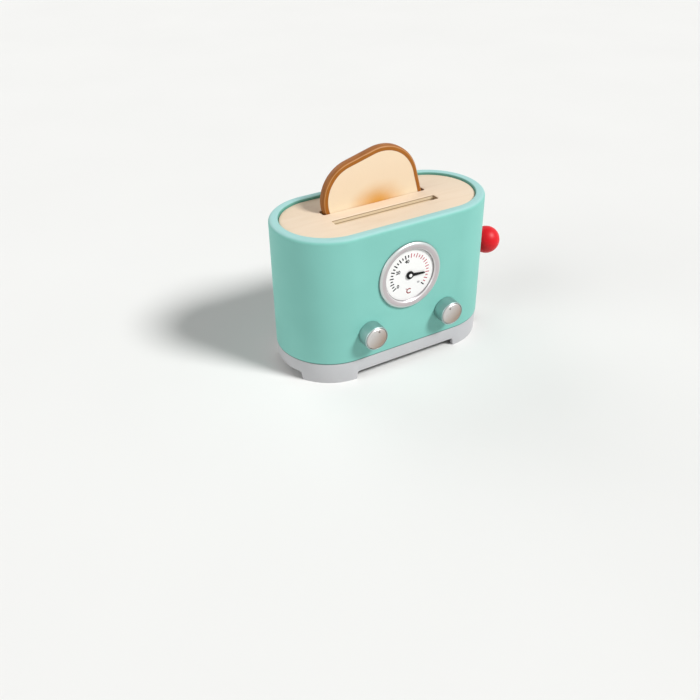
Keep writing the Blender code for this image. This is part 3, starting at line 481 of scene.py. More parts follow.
def roundOff(profile, corner, width, steps=5):
    # Round one corner of a profile
    before, point, after = (Vector(profile[(corner + k) % len(profile)]) for k in (-1, 0, 1))
    start = point + (before - point).normalized() * width
    end = point + (after - point).normalized() * width
    rounded = []
    for step in range(steps + 1):
        share = step / steps
        rounded.append(tuple(start * (1 - share) ** 2 + point * 2 * share * (1 - share)
                             + end * share ** 2))
    return profile[:corner] + rounded + profile[corner + 1:]


def roundCorners(profile, widths):
    # Round several corners, given as corner number and width, the last one first
    for corner in sorted(widths, reverse=True):
        profile = roundOff(profile, corner, widths[corner])
    return profile


def copied(node, name, width, segments):
    # A CAD node's shape as a whole mesh of its own, with its edges eased
    flatDegrees = 0.4
    deselect()
    piece = bpy.data.objects.new(name, frame["nodes"][node].data.copy())
    scene.collection.objects.link(piece)
    piece.data.materials.clear()
    select(piece)
    bpy.ops.mesh.customdata_custom_splitnormals_clear()
    edit(piece)
    mergeAll(False)
    bpy.ops.mesh.dissolve_limited(angle_limit=math.radians(flatDegrees))
    deselect()
    soften(piece, width, segments)
    return putAt(piece, -bodyMiddle)


def addOblong(name, length, depth, low, high, segments=40):
    # A block whose two ends are half rounds
    piece = addBlock(name, (-length / 2, -depth / 2, low), (length / 2, depth / 2, high))
    edit(piece)
    bevelEdges(along(2), depth / 2, segments)
    mergeAll()
    deselect()
    return piece


def finishPiece(piece, material, body, nodes=(), degrees=smoothDegrees):
    # Smooth a piece, move it from the body's middle to its place, and hand it over
    select(piece)
    bpy.ops.object.shade_smooth_by_angle(angle=math.radians(degrees))
    putAt(piece, bodyMiddle)
    piece.data.materials.clear()
    piece.data.materials.append(materials[material])
    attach(piece, body)
    if nodes:
        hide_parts(*nodes)
    deselect()


# The painted shell

shellSpan = spanOf("body_shell")
shellSizes = {
    "length": shellSpan[1][0] - shellSpan[0][0], "depth": shellSpan[1][1] - shellSpan[0][1],
    "low": shellSpan[0][2], "top": shellSpan[1][2], "wall": 0.003,
    "rim": 0.0077, "rimRound": 0.003, "rimInnerRound": 0.0012, "footRound": 0.0005,
    "ledge": 0.008, "ledgeTop": spanOf("top_panel")[0][2] - 0.0003,
    "gaugeHeight": middleOf("gauge_bezel")[2], "gaugeHole": 0.0253,
    "knobPlace": middleOf("knob_right")[0], "knobHeight": middleOf("knob_right")[2],
    "knobHole": 0.0049,
    "slitWidth": 0.006, "slitRound": 0.0027,
    "slitRoom": 0.0023,  # past the stem's middle, above and below its travel
    "bossPlace": middleOf("base_screw_right_back"), "bossGap": 0.0005, "bossRadius": 0.0058,
    "bossLength": 0.022, "bossHole": 0.0015, "bossDepth": 0.012,
}

paintSizes = {
    # the rim colour is painted light on the shell's top, as lit from above
    "base": (130, 197, 186), "shade": (126, 193, 182), "rim": (160, 206, 203),
    # the inner colour is painted shade on the rim's inner wall, and the seam colour a painted
    # shadow along the edge over the base
    "inner": (94, 156, 142), "seam": (62, 118, 108),
    "rimStart": 0.0018, "rimEnd": 0.0002,  # below the shell's top
    "innerReach": 0.0008, "seamHeight": 0.0009, "seamFade": 0.0003, "seamShare": 0.8,
    "clouds": (16.0, 3.0), "peel": (850.0, 2.0, 0.55), "relief": (0.00002, 0.6),
    "roughness": (0.52, 0.62), "coat": (0.03, 0.09),
}


def makeTealPaint():
    s = paintSizes
    shell = shellSizes
    finish = Finish("tealPaint", s["base"], Coat_Roughness=0.4, Specular_IOR_Level=0.3)
    cloud = finish.noise(*s["clouds"])
    peel = finish.noise(*s["peel"])
    colour = finish.mix(s["base"], s["shade"], cloud.step(*softPatches))
    across, away, height = finish.axes()
    # painted light: the top of the rim lighter, as lit from above
    rim = height.step(shell["top"] - s["rimStart"], shell["top"] - s["rimEnd"])
    colour = finish.mix(colour, s["rim"], rim)
    past = (across.size() - (shell["length"] - shell["depth"]) / 2).math("MAXIMUM", 0.0)
    reach = (past * past + away * away).math("SQRT")  # from the line between the ends' centres
    innerWall = shell["depth"] / 2 - shell["rim"]
    inner = 1 - reach.step(innerWall, innerWall + s["innerReach"])
    colour = finish.mix(colour, s["inner"], inner)  # painted shade on the rim's inner wall, down to the wood
    seamTop = shell["low"] + s["seamHeight"]
    seam = 1 - height.step(seamTop - s["seamFade"], seamTop)  # painted shadow along the edge over the base
    colour = finish.mix(colour, s["seam"], seam * s["seamShare"])
    finish.vary("Coat Weight", s["coat"], cloud)
    return finish.complete(s, colour, peel)


def spineDistance(place):
    # How far a point lies from the line between the centres of the shell's round ends
    half = (shellSizes["length"] - shellSizes["depth"]) / 2
    return math.hypot(place.x - max(-half, min(half, place.x)), place.y)


def edgesAt(height, nearest, furthest):
    # True for an edge at a height whose ends lie between two distances from that line
    return both(level(2, height), lambda edge: all(
        nearest <= spineDistance(vert.co) <= furthest for vert in edge.verts))


def makeShell():
    s = shellSizes
    piece = addOblong("bodyShell", s["length"], s["depth"], s["low"], s["top"])
    edit(piece)
    pick("FACE", level(2, s["top"]))
    bpy.ops.mesh.inset(thickness=s["rim"], depth=0)
    extrude(0, 0, s["ledgeTop"] - s["top"])
    bpy.ops.mesh.inset(thickness=s["ledge"], depth=0)
    bpy.ops.mesh.delete(type="FACE")
    pick("FACE", level(2, s["low"]))
    bpy.ops.mesh.inset(thickness=s["wall"], depth=0)
    extrude(0, 0, s["ledgeTop"] - s["wall"] - s["low"])
    bpy.ops.mesh.inset(thickness=s["rim"] + s["ledge"] - s["wall"], depth=0)
    bpy.ops.mesh.delete(type="FACE")
    pick("EDGE", lambda edge: len(edge.link_faces) == 1)
    bpy.ops.mesh.bridge_edge_loops()
    mergeAll()
    outer = s["depth"] / 2
    bevelEdges(edgesAt(s["top"], 0, outer - s["rim"] + tiny), s["rimInnerRound"], 4)
    bevelEdges(edgesAt(s["top"], outer - tiny, outer + tiny), s["rimRound"], 8)
    bevelEdges(edgesAt(s["low"], outer - tiny, outer + tiny), s["footRound"], 3)
    deselect()
    bossLow = s["low"] + s["bossGap"]
    for side in (-1, 1):
        for end in (-1, 1):
            spot = (side * s["bossPlace"][0], end * s["bossPlace"][1])
            carve(piece, addRound("boss", s["bossRadius"], bossLow, bossLow + s["bossLength"],
                                  spot, steps=40), "UNION")
            carve(piece, addRound("bossHole", s["bossHole"], bossLow - s["wall"],
                                  bossLow + s["bossDepth"], spot, steps=24))
    reach = 2 * s["wall"]
    front = (-outer - reach, -outer + reach)
    carve(piece, addRound("gaugeHole", s["gaugeHole"], *front, (0, s["gaugeHeight"]), "Y",
                          steps=128))
    for side in (-1, 1):
        carve(piece, addRound("knobHole", s["knobHole"], *front,
                              (side * s["knobPlace"], s["knobHeight"]), "Y", steps=48))
    slitLow = leverHeight - leverTravel - s["slitRoom"]
    slit = addBlock("leverSlit", (s["length"] / 2 - reach, -s["slitWidth"] / 2, slitLow),
                    (s["length"] / 2 + reach, s["slitWidth"] / 2, leverHeight + s["slitRoom"]))
    edit(slit)
    bevelEdges(along(0), s["slitRound"], 8)
    deselect()
    carve(piece, slit)
    finishPiece(piece, "teal", "housing", ["body_shell"], degrees=30)


# The wooden top with its two slots

topSpan = spanOf("top_panel")
topSizes = {
    "length": topSpan[1][0] - topSpan[0][0], "depth": topSpan[1][1] - topSpan[0][1],
    "low": topSpan[0][2], "top": topSpan[1][2], "edge": 0.0007,
    "slotLength": 0.0942, "slotWidth": 0.0082, "corner": 0.0015, "slotEdge": 0.0004,
    "pitch": 2 * middleOf("toast_slice")[1], "cut": 0.008,
}

woodSizes = {
    "pale": (228, 208, 184), "grain": (217, 193, 163), "pore": (186, 152, 116),
    "glue": (150, 110, 64), "wall": (250, 234, 204), "wallShade": (240, 218, 180),
    # a scale below 1 draws a pattern out along that axis
    "grainScale": (0.12, 1, 1), "poreScale": (0.06, 1, 1), "fibreScale": (0.3, 0.3, 1),
    "streaks": (160.0, 4.0, 0.6, 0.3), "streakMask": (0.42, 0.78, 0.35),
    "bands": (34.0, 2.0, 0.5, 0.6), "bandMask": (0.45, 0.7, 0.2),
    "pores": (900.0, 2.0, 0.7), "poreMask": (0.66, 0.8, 0.22), "fibres": (300.0, 2.0, 0.6),
    "wallTop": topSizes["top"] - 0.00045, "wallFade": 0.0002,
    "ply": 0.0027, "glueHeight": topSizes["top"] - 0.0007, "glueSpan": (0.08, 0.22),
    "glueShare": 0.7, "bends": (9.0, 2.0), "bendDepth": 0.0002,
    # the slot end colour is painted shade on the slots' end walls
    "endGrain": (112, 80, 46), "endPlace": topSizes["slotLength"] / 2 - 0.00005,
    "endWidth": 0.0006, "endSpan": (0.016, 0.017), "endShare": 0.8,
    "roughness": (0.5, 0.64), "relief": (0.00004, 0.7),
}


def makeBirch():
    s = woodSizes
    finish = Finish("birchPly", s["pale"])
    grain = finish.place(s["grainScale"])
    streak = finish.noise(*s["streaks"], place=grain)
    band = finish.noise(*s["bands"], place=grain)
    pores = finish.noise(*s["pores"], place=finish.place(s["poreScale"]))
    face = finish.mix(s["pale"], s["grain"],
                      streak.mask(*s["streakMask"]) + band.mask(*s["bandMask"]))
    face = finish.mix(face, s["pore"], pores.mask(*s["poreMask"]))
    across, away, height = finish.axes()
    wall = 1 - height.step(s["wallTop"] - s["wallFade"], s["wallTop"])
    bend = finish.noise(*s["bends"]) * s["bendDepth"]
    layers = ((height - s["glueHeight"] + bend) / s["ply"]).math("FRACT")
    line = 1 - layers.math("PINGPONG", 0.5).step(*s["glueSpan"])
    fibre = finish.noise(*s["fibres"], place=finish.place(s["fibreScale"]))
    side = finish.mix(s["wall"], s["wallShade"], fibre)
    side = finish.mix(side, s["glue"], line * s["glueShare"])
    # painted shade on the slots' end walls
    endShade = across.size().bell(s["endPlace"], s["endWidth"])
    endShade = endShade * (1 - away.size().step(*s["endSpan"]))
    side = finish.mix(side, s["endGrain"], endShade * s["endShare"])
    return finish.complete(s, finish.mix(face, side, wall), streak, (streak + pores) * 0.5)


def makeTop():
    s = topSizes
    piece = addOblong("woodenTop", s["length"], s["depth"], s["low"], s["top"])
    edit(piece)
    bevelEdges(level(2, s["top"]), s["edge"], 4)
    deselect()
    for side in (-1, 1):
        half = (s["slotLength"] / 2 + s["slotEdge"], s["slotWidth"] / 2 + s["slotEdge"])
        middle = side * s["pitch"] / 2
        cutter = addBlock("slotCutter", (-half[0], middle - half[1], s["top"]),
                          (half[0], middle + half[1], s["top"] + s["cut"]))
        edit(cutter)
        bevelEdges(along(2), s["corner"] + s["slotEdge"], 6)
        pick("FACE", level(2, s["top"]))
        bpy.ops.mesh.inset(thickness=s["slotEdge"], depth=s["slotEdge"])
        extrude(0, 0, -s["cut"])
        mergeAll()
        deselect()
        carve(piece, cutter)
    finishPiece(piece, "birch", "housing", ["top_panel"], degrees=30)


# The base and its door

baseSizes = {"edge": 0.0003}


def makeBase():
    base = copied("base_tray", "footBase", baseSizes["edge"], 3)
    finishPiece(base, "grey", "housing", ["base_tray"], degrees=30)
    door = copied("battery_door", "bayDoor", baseSizes["edge"], 2)
    finishPiece(door, "grey", "housing", ["battery_door"], degrees=30)


# The gauge: bezel, dial with its scale, hand and pin

gaugeSizes = {
    "height": shellSizes["gaugeHeight"], "front": -shellSizes["depth"] / 2,
    "outer": spanOf("gauge_bezel")[1][0], "inner": 0.022, "rise": 0.0024,
    "crest": 0.0256, "lip": 0.0225, "lipRise": 0.0011, "lipSlope": (0.0002, 0.0003),
    "lipDrop": 0.0005, "spigotOuter": shellSizes["gaugeHole"] - 0.0003,
    "spigotInner": 0.0231, "spigotDepth": 0.005, "gap": 0.0003,
    "dialThickness": 0.0012, "dialHole": 0.001, "dialEdge": 0.0002,
    "ticks": 29, "firstDegrees": -124.3, "stepDegrees": 9.15, "blackTicks": 14,
    "tickPlace": 0.0166, "longTick": 0.0036, "shortTick": 0.0023,
    "blackWidth": 0.00095, "redWidth": 0.00072, "print": 0.00008, "sunk": 0.00002,
    "boldness": 0.032,
    "labels": (  # words, place across and up from the dial's centre, size, colour
        ("0", -0.0106, -0.0077, 0.0042, "black"),
        ("20", -0.0108, 0.0046, 0.0040, "black"),
        ("40", -0.0027, 0.0121, 0.0040, "black"),
        ("°", -0.0028, -0.0129, 0.0030, "darkRed"),
        ("C", -0.0006, -0.0145, 0.0062, "darkRed"),
        ("90", 0.0083, -0.0087, 0.0024, "faint"),
    ),
}

bezelRings = {  # radius where each ring starts, and its colour
    # the line and foot colours are painted shade, at the inner wall and where the bezel meets the
    # shell; the bead, band and flank colours are painted reflections
    "line": (0.0, (126, 120, 122)), "bead": (0.0224, (226, 225, 225)),
    "band": (0.0231, (200, 191, 193)), "flank": (0.0263, (206, 210, 209)),
    "foot": (0.0281, (112, 128, 126)), "fade": 0.0004,
    "satinStart": (0.0227, 0.0233), "satinEnd": (0.0258, 0.0266),  # spans of the radius
    "marks": (500.0, 2.0), "roughness": (0.33, 0.37), "relief": (0.000004, 1.0),
}


def makeBezelSilver():
    # Silvered plastic, its flat band more satin than its polished edges. Its ring colours are
    # painted: the pinker grey band and the lighter bead and flank are painted reflections, the
    # dark inner line and the foot painted shade
    s = bezelRings
    finish = Finish("bezelSilver", s["flank"][1], Metallic=0.8)
    across, away, up = finish.axes()
    radius = (across * across + (up - gaugeSizes["height"]).squared()).math("SQRT")
    marks = finish.noise(*s["marks"])
    colour = s["line"][1]
    # rings of painted reflection and painted shade, outwards from the inner line
    for ring in ("bead", "band", "flank", "foot"):
        start, ringColour = s[ring]
        colour = finish.mix(colour, ringColour, radius.step(start - s["fade"], start + s["fade"]))
    satin = radius.step(*s["satinStart"]) - radius.step(*s["satinEnd"])
    return finish.complete(s, colour, satin + marks, marks)


def quarterRound(centre, height, across, rise, start, end, steps):
    # Part of an ellipse, as a profile's pairs of radius and height
    points = []
    for step in range(steps + 1):
        angle = math.radians(start + (end - start) * step / steps)
        points.append((centre + across * math.cos(angle), height + rise * math.sin(angle)))
    return points


def makeBezel():
    s = gaugeSizes
    slopeIn, slopeDown = s["lipSlope"]
    profile = quarterRound(s["crest"], s["gap"], s["outer"] - s["crest"],
                           s["rise"] - s["gap"], 0, 90, 14)
    profile += quarterRound(s["crest"], s["lipRise"], s["crest"] - s["lip"],
                            s["rise"] - s["lipRise"], 90, 180, 12)[1:]
    profile += [
        (s["inner"] + slopeIn, s["lipRise"] - slopeDown),
        (s["inner"], s["lipRise"] - s["lipDrop"]),
        (s["inner"], s["gap"]),
        (s["spigotInner"], s["gap"]),
        (s["spigotInner"], -s["spigotDepth"]),
        (s["spigotOuter"], -s["spigotDepth"]),
        (s["spigotOuter"], s["gap"]),
    ]
    piece = spun("gaugeBezel", profile, (0, s["front"], s["height"]), steps=160)
    finishPiece(piece, "bezel", "housing", ["gauge_bezel"], degrees=40)


def makeDial():
    s = gaugeSizes
    edge = s["spigotInner"] - s["gap"]
    profile = [(s["dialHole"], 0), (edge - s["dialEdge"], 0), (edge, -s["dialEdge"]),
               (edge, -s["dialThickness"]), (s["dialHole"], -s["dialThickness"])]
    piece = spun("gaugeDial", profile, (0, s["front"], s["height"]), steps=128)
    finishPiece(piece, "white", "housing", ["gauge_dial"], degrees=30)


def gather(pieces, name):
    # Join pieces into one mesh
    deselect()
    for piece in pieces:
        piece.select_set(True)
    bpy.context.view_layer.objects.active = pieces[0]
    bpy.ops.object.join()
    joined = bpy.context.object
    joined.name = name
    return joined


def makeTick(length, width):
    # One printed stroke with eased corners, standing up from the dial at the top
    s = gaugeSizes
    tick = addBlock("tick", (-width / 2, s["front"] - s["print"], s["tickPlace"] - length / 2),
                    (width / 2, s["front"] + s["sunk"], s["tickPlace"] + length / 2))
    edit(tick)
    bevelEdges(along(1), width / 4, 2)
    deselect()
    return tick


def makeScale():
    s = gaugeSizes
    strokes = {}
    for colour, width in (("black", s["blackWidth"]), ("red", s["redWidth"])):
        for kind in ("long", "short"):
            strokes[colour, kind] = makeTick(s[kind + "Tick"], width)
    made = {"black": [], "red": []}
    for index in range(s["ticks"]):
        colour = "black" if index < s["blackTicks"] or index == s["ticks"] - 1 else "red"
        pattern = strokes[colour, "short" if index % 2 else "long"]
        tick = pattern.copy()
        tick.data = pattern.data.copy()
        scene.collection.objects.link(tick)
        turn = math.radians(s["firstDegrees"] + index * s["stepDegrees"])
        made[colour].append(putAt(tick, (0, 0, s["height"]), (0, turn, 0)))
    for pattern in strokes.values():
        bpy.data.objects.remove(pattern, do_unlink=True)
    for colour, ticks in made.items():
        piece = gather(ticks, colour + "Ticks")
        finishPiece(piece, colour, "housing")


def makeLabels():
    s = gaugeSizes
    for index, (words, across, up, size, colour) in enumerate(s["labels"]):
        deselect()
        bpy.ops.object.text_add(location=(across, s["front"] + s["sunk"], s["height"] + up),
                                rotation=axisTurns["Y"])
        label = bpy.context.object
        label.data.body = words
        label.data.size = size
        label.data.align_x = "CENTER"
        label.data.align_y = "CENTER"
        label.data.offset = size * s["boldness"]
        label.data.extrude = (s["print"] + s["sunk"]) / 2
        select(label)
        bpy.ops.object.convert(target="MESH")
        piece = settlePlace("dialLabel" + str(index))
        finishPiece(piece, colour, "housing")


handSizes = {
    "hub": 0.0033, "hole": 0.0012, "length": 0.014, "root": 0.00125, "tip": 0.0005,
    "tipRound": 0.00049, "low": 0.0003, "high": 0.0011, "edge": 0.00015, "turnDegrees": 95.0,
}
pinSizes = {
    "radius": 0.0007, "head": 0.0014, "headLow": 0.0014, "headHigh": 0.002, "back": -0.0038,
    "end": -0.0044, "round": 0.0005,
}


def makeHand():
    s = handSizes
    hub = addRound("gaugeHand", s["hub"], -s["high"], -s["low"], (0, 0), "Y")
    pointer = addBlock("pointer", (-s["root"], -s["high"], s["hub"] / 2),
                       (s["root"], -s["low"], s["length"]))
    edit(pointer)
    pick("VERT", lambda vert: vert.co.z > s["length"] - tiny)
    bpy.ops.transform.resize(value=(s["tip"] / s["root"], 1, 1))
    bevelEdges(both(along(1), lambda edge: edge.verts[0].co.z > s["length"] - tiny),
               s["tipRound"], 6)
    mergeAll()
    deselect()
    carve(hub, pointer, "UNION")
    carve(hub, addRound("handHole", s["hole"], -2 * s["high"], s["high"], (0, 0), "Y",
                        steps=48))
    soften(hub, s["edge"], 3)
    putAt(hub, (0, gaugeSizes["front"], gaugeSizes["height"]),
          (0, math.radians(s["turnDegrees"]), 0))
    finishPiece(hub, "black", "hand", ["gauge_hand"], degrees=30)


def makePin():
    s = pinSizes
    profile = roundCorners([
        (0, s["headHigh"]), (s["head"], s["headHigh"]), (s["head"], s["headLow"]),
        (s["radius"], s["headLow"]), (s["radius"], s["back"]), (s["head"], s["back"]),
        (s["head"], s["end"]), (0, s["end"])], {1: s["round"]})
    piece = spun("handPin", profile, (0, gaugeSizes["front"], gaugeSizes["height"]), steps=48)
    finishPiece(piece, "white", "housing", ["hand_pin"], degrees=40)


# The two knobs

knobSizes = {
    "place": shellSizes["knobPlace"], "height": shellSizes["knobHeight"],
    "front": -shellSizes["depth"] / 2, "radius": 0.0105, "face": 0.0102, "length": 0.0106,
    "wall": 0.0014, "floor": 0.004, "gap": 0.0003, "rim": 0.0009, "recess": 0.0011,
    "shaft": 0.003, "shaftLength": 0.0135, "groove": 0.0024, "grooveLow": -0.0119,
    "grooveHigh": -0.0105,
    "rounds": {2: 0.0002, 3: 0.0006, 4: 0.0004, 5: 0.0002, 12: 0.0005},  # by the profile's corner
    "capRise": 0.0005, "capDome": 0.0007, "capEase": 0.0006, "domeSteps": 12,
    "dimple": 0.0062, "dimpleRadius": 0.0009, "dimpleRise": 0.7,  # as a share of the dome
    "dimpleDegrees": {"left": 16.0, "right": -27.0},
}
knobSides = (("left", -1), ("right", 1))

capSizes = {
    # the first two colours are painted shading across each face, the darker towards the lower
    # right
    "dark": (174, 153, 140), "light": (210, 206, 204), "toneRise": 60.0, "toneMiddle": 0.5,
    "mark": (160, 150, 140), "marks": (420.0, 3.0, 0.6), "markMask": (0.55, 0.8, 0.25),
    # the dimple colour is painted shade in each knob's dimple
    "dimple": (104, 96, 92), "dimpleSpan": (0.6, 1.05),  # as shares of its radius
    "roughness": (0.3, 0.42), "relief": (0.000006, 1.0),
}


def dimpleSpot(name, side):
    # Across and up, from the body's middle
    s = knobSizes
    turn = math.radians(s["dimpleDegrees"][name])
    return (side * s["place"] + s["dimple"] * math.sin(turn),
            s["height"] + s["dimple"] * math.cos(turn))


def makeCapSilver():
    # The knobs' faces: warm satin silver with painted shading, lighter towards the upper left and
    # darker towards the lower right edge, and painted shade in each dimple
    s = capSizes
    finish = Finish("capSilver", s["light"], Metallic=0.85)
    across, away, up = finish.axes()
    side = (across.size() - knobSizes["place"]) * across.math("SIGN")
    # painted shading: lighter up and to the left, darker down and to the right of each knob's
    # middle
    paintedShading = (up - knobSizes["height"] - side) * s["toneRise"] + s["toneMiddle"]
    marks = finish.noise(*s["marks"])
    colour = finish.mix(s["dark"], s["light"], paintedShading.clamped())
    colour = finish.mix(colour, s["mark"], marks.mask(*s["markMask"]))
    span = [knobSizes["dimpleRadius"] * share for share in s["dimpleSpan"]]
    # painted shade in each knob's dimple
    for name, end in knobSides:
        spotX, spotZ = dimpleSpot(name, end)
        reach = ((across - spotX).squared() + (up - spotZ).squared()).math("SQRT")
        colour = finish.mix(colour, s["dimple"], 1 - reach.step(*span))
    return finish.complete(s, colour, marks)


def makeKnobs():
    s = knobSizes
    recess = s["face"] - s["rim"]
    seat = s["length"] - s["recess"]
    floor = s["length"] - s["floor"]
    bore = s["radius"] - s["wall"]
    profile = roundCorners([
        (0, seat), (recess, seat), (recess, s["length"]), (s["face"], s["length"]),
        (s["radius"], s["gap"]), (bore, s["gap"]), (bore, floor), (s["shaft"], floor),
        (s["shaft"], s["grooveHigh"]), (s["groove"], s["grooveHigh"]),
        (s["groove"], s["grooveLow"]), (s["shaft"], s["grooveLow"]),
        (s["shaft"], -s["shaftLength"]), (0, -s["shaftLength"])], s["rounds"])
    capEdge = s["length"] + s["capRise"]
    capRadius = recess - s["gap"]
    capProfile = []
    for step in range(s["domeSteps"]):
        share = step / s["domeSteps"]
        capProfile.append((capRadius * share, capEdge + s["capDome"] * (1 - share ** 2)))
    capProfile += [(capRadius - s["capEase"], capEdge), (capRadius, capEdge - s["capEase"]),
                   (capRadius, seat + s["gap"]), (0, seat + s["gap"])]
    for name, side in knobSides:
        place = (side * s["place"], s["front"], s["height"])
        knob = spun("knobBody_" + name, profile, place, steps=112)
        finishPiece(knob, "silver", name + "_knob", ["knob_" + name],
                    degrees=35)
        cap = spun("knobFace_" + name, capProfile, place)
        spotX, spotZ = dimpleSpot(name, side)
        deselect()
        bpy.ops.mesh.primitive_uv_sphere_add(
            segments=32, ring_count=16, radius=s["dimpleRadius"],
            location=(spotX, s["front"] - capEdge - s["capDome"] * s["dimpleRise"], spotZ))
        carve(cap, settlePlace("dimple"))
        finishPiece(cap, "cap", name + "_knob", ["knob_cap_" + name],
                    degrees=35)


# The lever's stem and ball

stemSpan = spanOf("lever_stem")
leverSizes = {
    "ball": 0.012, "bore": 0.0023, "boreDepth": 0.009, "mouth": 0.001, "mouthEdge": 0.0002,
    "stem": 0.002, "stemLow": stemSpan[0][0], "stemHigh": stemSpan[1][0],
    "collar": 0.0032, "collarLow": 0.0743, "collarHigh": 0.0768,
    "rounds": {1: 0.0004, 3: 0.0004, 4: 0.0003, 6: 0.0004},  # by the profile's corner
}

lacquerSizes = {
    "red": (222, 17, 31), "deep": (214, 12, 25), "clouds": (60.0, 2.0), "peel": (380.0, 1.0),
    "roughness": (0.42, 0.5), "coat": (0.12, 0.22), "relief": (0.00002, 0.5),
}


def makeRedLacquer():
    s = lacquerSizes
    finish = Finish("redLacquer", s["red"], Coat_Roughness=0.4, Specular_IOR_Level=0.2)
    cloud = finish.noise(*s["clouds"])
    peel = finish.noise(*s["peel"])
    colour = finish.mix(s["red"], s["deep"], cloud.step(*softPatches))
    finish.vary("Coat Weight", s["coat"], cloud)
    return finish.complete(s, colour, cloud, peel)


def makeLever():
    s = leverSizes
    profile = roundCorners([
        (0, s["stemHigh"]), (s["stem"], s["stemHigh"]), (s["stem"], s["collarHigh"]),
        (s["collar"], s["collarHigh"]), (s["collar"], s["collarLow"]),
        (s["stem"], s["collarLow"]), (s["stem"], s["stemLow"]), (0, s["stemLow"])],
        s["rounds"])
    stem = spun("leverStem", profile, (0, 0, leverHeight), "X", steps=48)
    finishPiece(stem, "steel", "carriage", ["lever_stem"], degrees=35)
    deselect()
    bpy.ops.mesh.primitive_uv_sphere_add(segments=96, ring_count=64, radius=s["ball"],
                                         rotation=axisTurns["X"])
    ball = settlePlace("leverBall")
    flat = math.sqrt(s["ball"] ** 2 - (s["bore"] + s["mouth"]) ** 2)
    edit(ball)
    bpy.ops.mesh.select_all(action="SELECT")
    bpy.ops.mesh.bisect(plane_co=(-flat, 0, 0), plane_no=(1, 0, 0), use_fill=True,
                        clear_inner=True)
    pick("FACE", level(0, -flat))
    bpy.ops.mesh.inset(thickness=s["mouth"], depth=0)
    extrude(s["boreDepth"] - s["ball"] + flat, 0, 0)
    mergeAll()
    deselect()
    soften(ball, s["mouthEdge"], 2)
    putAt(ball, (spanOf("lever_ball")[1][0] - s["ball"], 0, leverHeight))
    finishPiece(ball, "lacquer", "carriage", ["lever_ball"], degrees=35)


# The slice of toast, tilted in the back slot

toastSpan = spanOf("toast_slice")
toastSizes = {
    "half": 0.04345, "halfHeight": 0.04015, "front": toastSpan[0][1], "back": toastSpan[1][1],
    "low": toastSpan[0][2], "offset": 0.0011, "leftCorner": 0.030, "rightCorner": 0.0338,
    "lowCorner": 0.020, "tiltDegrees": 15.2, "round": 0.0021, "ringStep": 0.0003, "rings": 9,
}

crustSizes = {
    "crust": (156, 96, 39), "crustDark": (134, 77, 25), "clouds": (60.0, 3.0),
    # measured in from the face's edge, which wavers a little; a line is its place and width
    "band": (164, 98, 24), "bandStart": (-0.0002, 0.0001), "bandEnd": (0.0018, 0.0022),
    # the pale line is a painted highlight along the rounded edge next to the face
    "pale": (226, 170, 112), "paleLine": (-0.0003, 0.00028), "paleShare": 0.5,
    "bandEdge": (130, 74, 18), "edgeLine": (0.0019, 0.0005), "edgeShare": 0.7,
    "wavers": (120.0, 2.0), "waverDepth": 0.0003,
    "face": (243, 220, 190), "faceLow": (242, 226, 197), "faceSpan": (0.118, 0.150),
    "toasted": (219, 151, 36), "toastedShare": 0.9, "spot": (0.0025, 0.1235),
    "spotReach": (0.031, 0.021), "spotWaver": 0.3,
    "pit": (224, 192, 146), "crumbs": (420.0, 3.0, 0.65), "pitMask": (0.62, 0.8, 0.2),
    "roughness": (0.42, 0.58), "relief": (0.00006, 0.6),
}


def makeToastPaint():
    s = crustSizes
    finish = Finish("toastPaint", s["face"], Specular_IOR_Level=0.3)
    depth = finish.node("Attribute", {"attribute_name": "rimDepth"}, output="Fac")
    depth = depth + (finish.noise(*s["wavers"]) - 0.5) * s["waverDepth"]
    across, away, up = finish.axes()
    crumbs = finish.noise(*s["crumbs"])
    cloud = finish.noise(*s["clouds"])
    face = finish.mix(s["faceLow"], s["face"], up.step(*s["faceSpan"]))
    spotX, spotZ = s["spot"]
    wide, high = s["spotReach"]
    fromSpot = finish.node("CombineXYZ", None, {0: (across - spotX) / wide, 1: 0.0,
                                                2: (up - spotZ) / high})
    reach = finish.node("VectorMath", {"operation": "LENGTH"}, {0: fromSpot}, output="Value")
    heat = 1 - (reach + (cloud - 0.5) * s["spotWaver"]).step(0.0, 1.0)
    face = finish.mix(face, s["toasted"], heat * s["toastedShare"])
    face = finish.mix(face, s["pit"], crumbs.mask(*s["pitMask"]))
    colour = finish.mix(s["crust"], s["crustDark"], cloud.step(*softPatches))
    colour = finish.mix(colour, s["band"], depth.step(*s["bandStart"]))
    # painted highlight along the rounded edge
    colour = finish.mix(colour, s["pale"], depth.bell(*s["paleLine"]) * s["paleShare"])
    colour = finish.mix(colour, s["bandEdge"], depth.bell(*s["edgeLine"]) * s["edgeShare"])
    colour = finish.mix(colour, face, depth.step(*s["bandEnd"]))
    return finish.complete(s, colour, crumbs)


def makeToast():
    s = toastSizes
    faces = (s["front"], s["back"])
    piece = addBlock("toastSlice", (-s["half"], s["front"], -s["halfHeight"]),
                     (s["half"], s["back"], s["halfHeight"]))
    edit(piece)
    for side, end, corner in ((1, 1, "rightCorner"), (-1, 1, "leftCorner"),
                              (-1, -1, "lowCorner"), (1, -1, "lowCorner")):
        bevelEdges(both(along(1), lambda edge: edge.verts[0].co.x * side > s["half"] - tiny
                        and edge.verts[0].co.z * end > s["halfHeight"] - tiny), s[corner], 24)
    for face in faces:
        bevelEdges(level(1, face), s["round"], 6)
    for face in faces:
        pick("FACE", level(1, face))
        for ring in range(s["rings"]):
            bpy.ops.mesh.inset(thickness=s["ringStep"], depth=0)
    bpy.ops.mesh.select_all(action="SELECT")
    bpy.ops.transform.rotate(value=math.radians(s["tiltDegrees"]), orient_axis="Y",
                             center_override=(0, 0, 0))
    deselect()
    lowest = min(vert.co.z for vert in piece.data.vertices)
    putAt(piece, (-s["offset"], 0, s["low"] - lowest))
    markRim(piece, *faces)
    finishPiece(piece, "toast", "bread", ["toast_slice"], degrees=35)


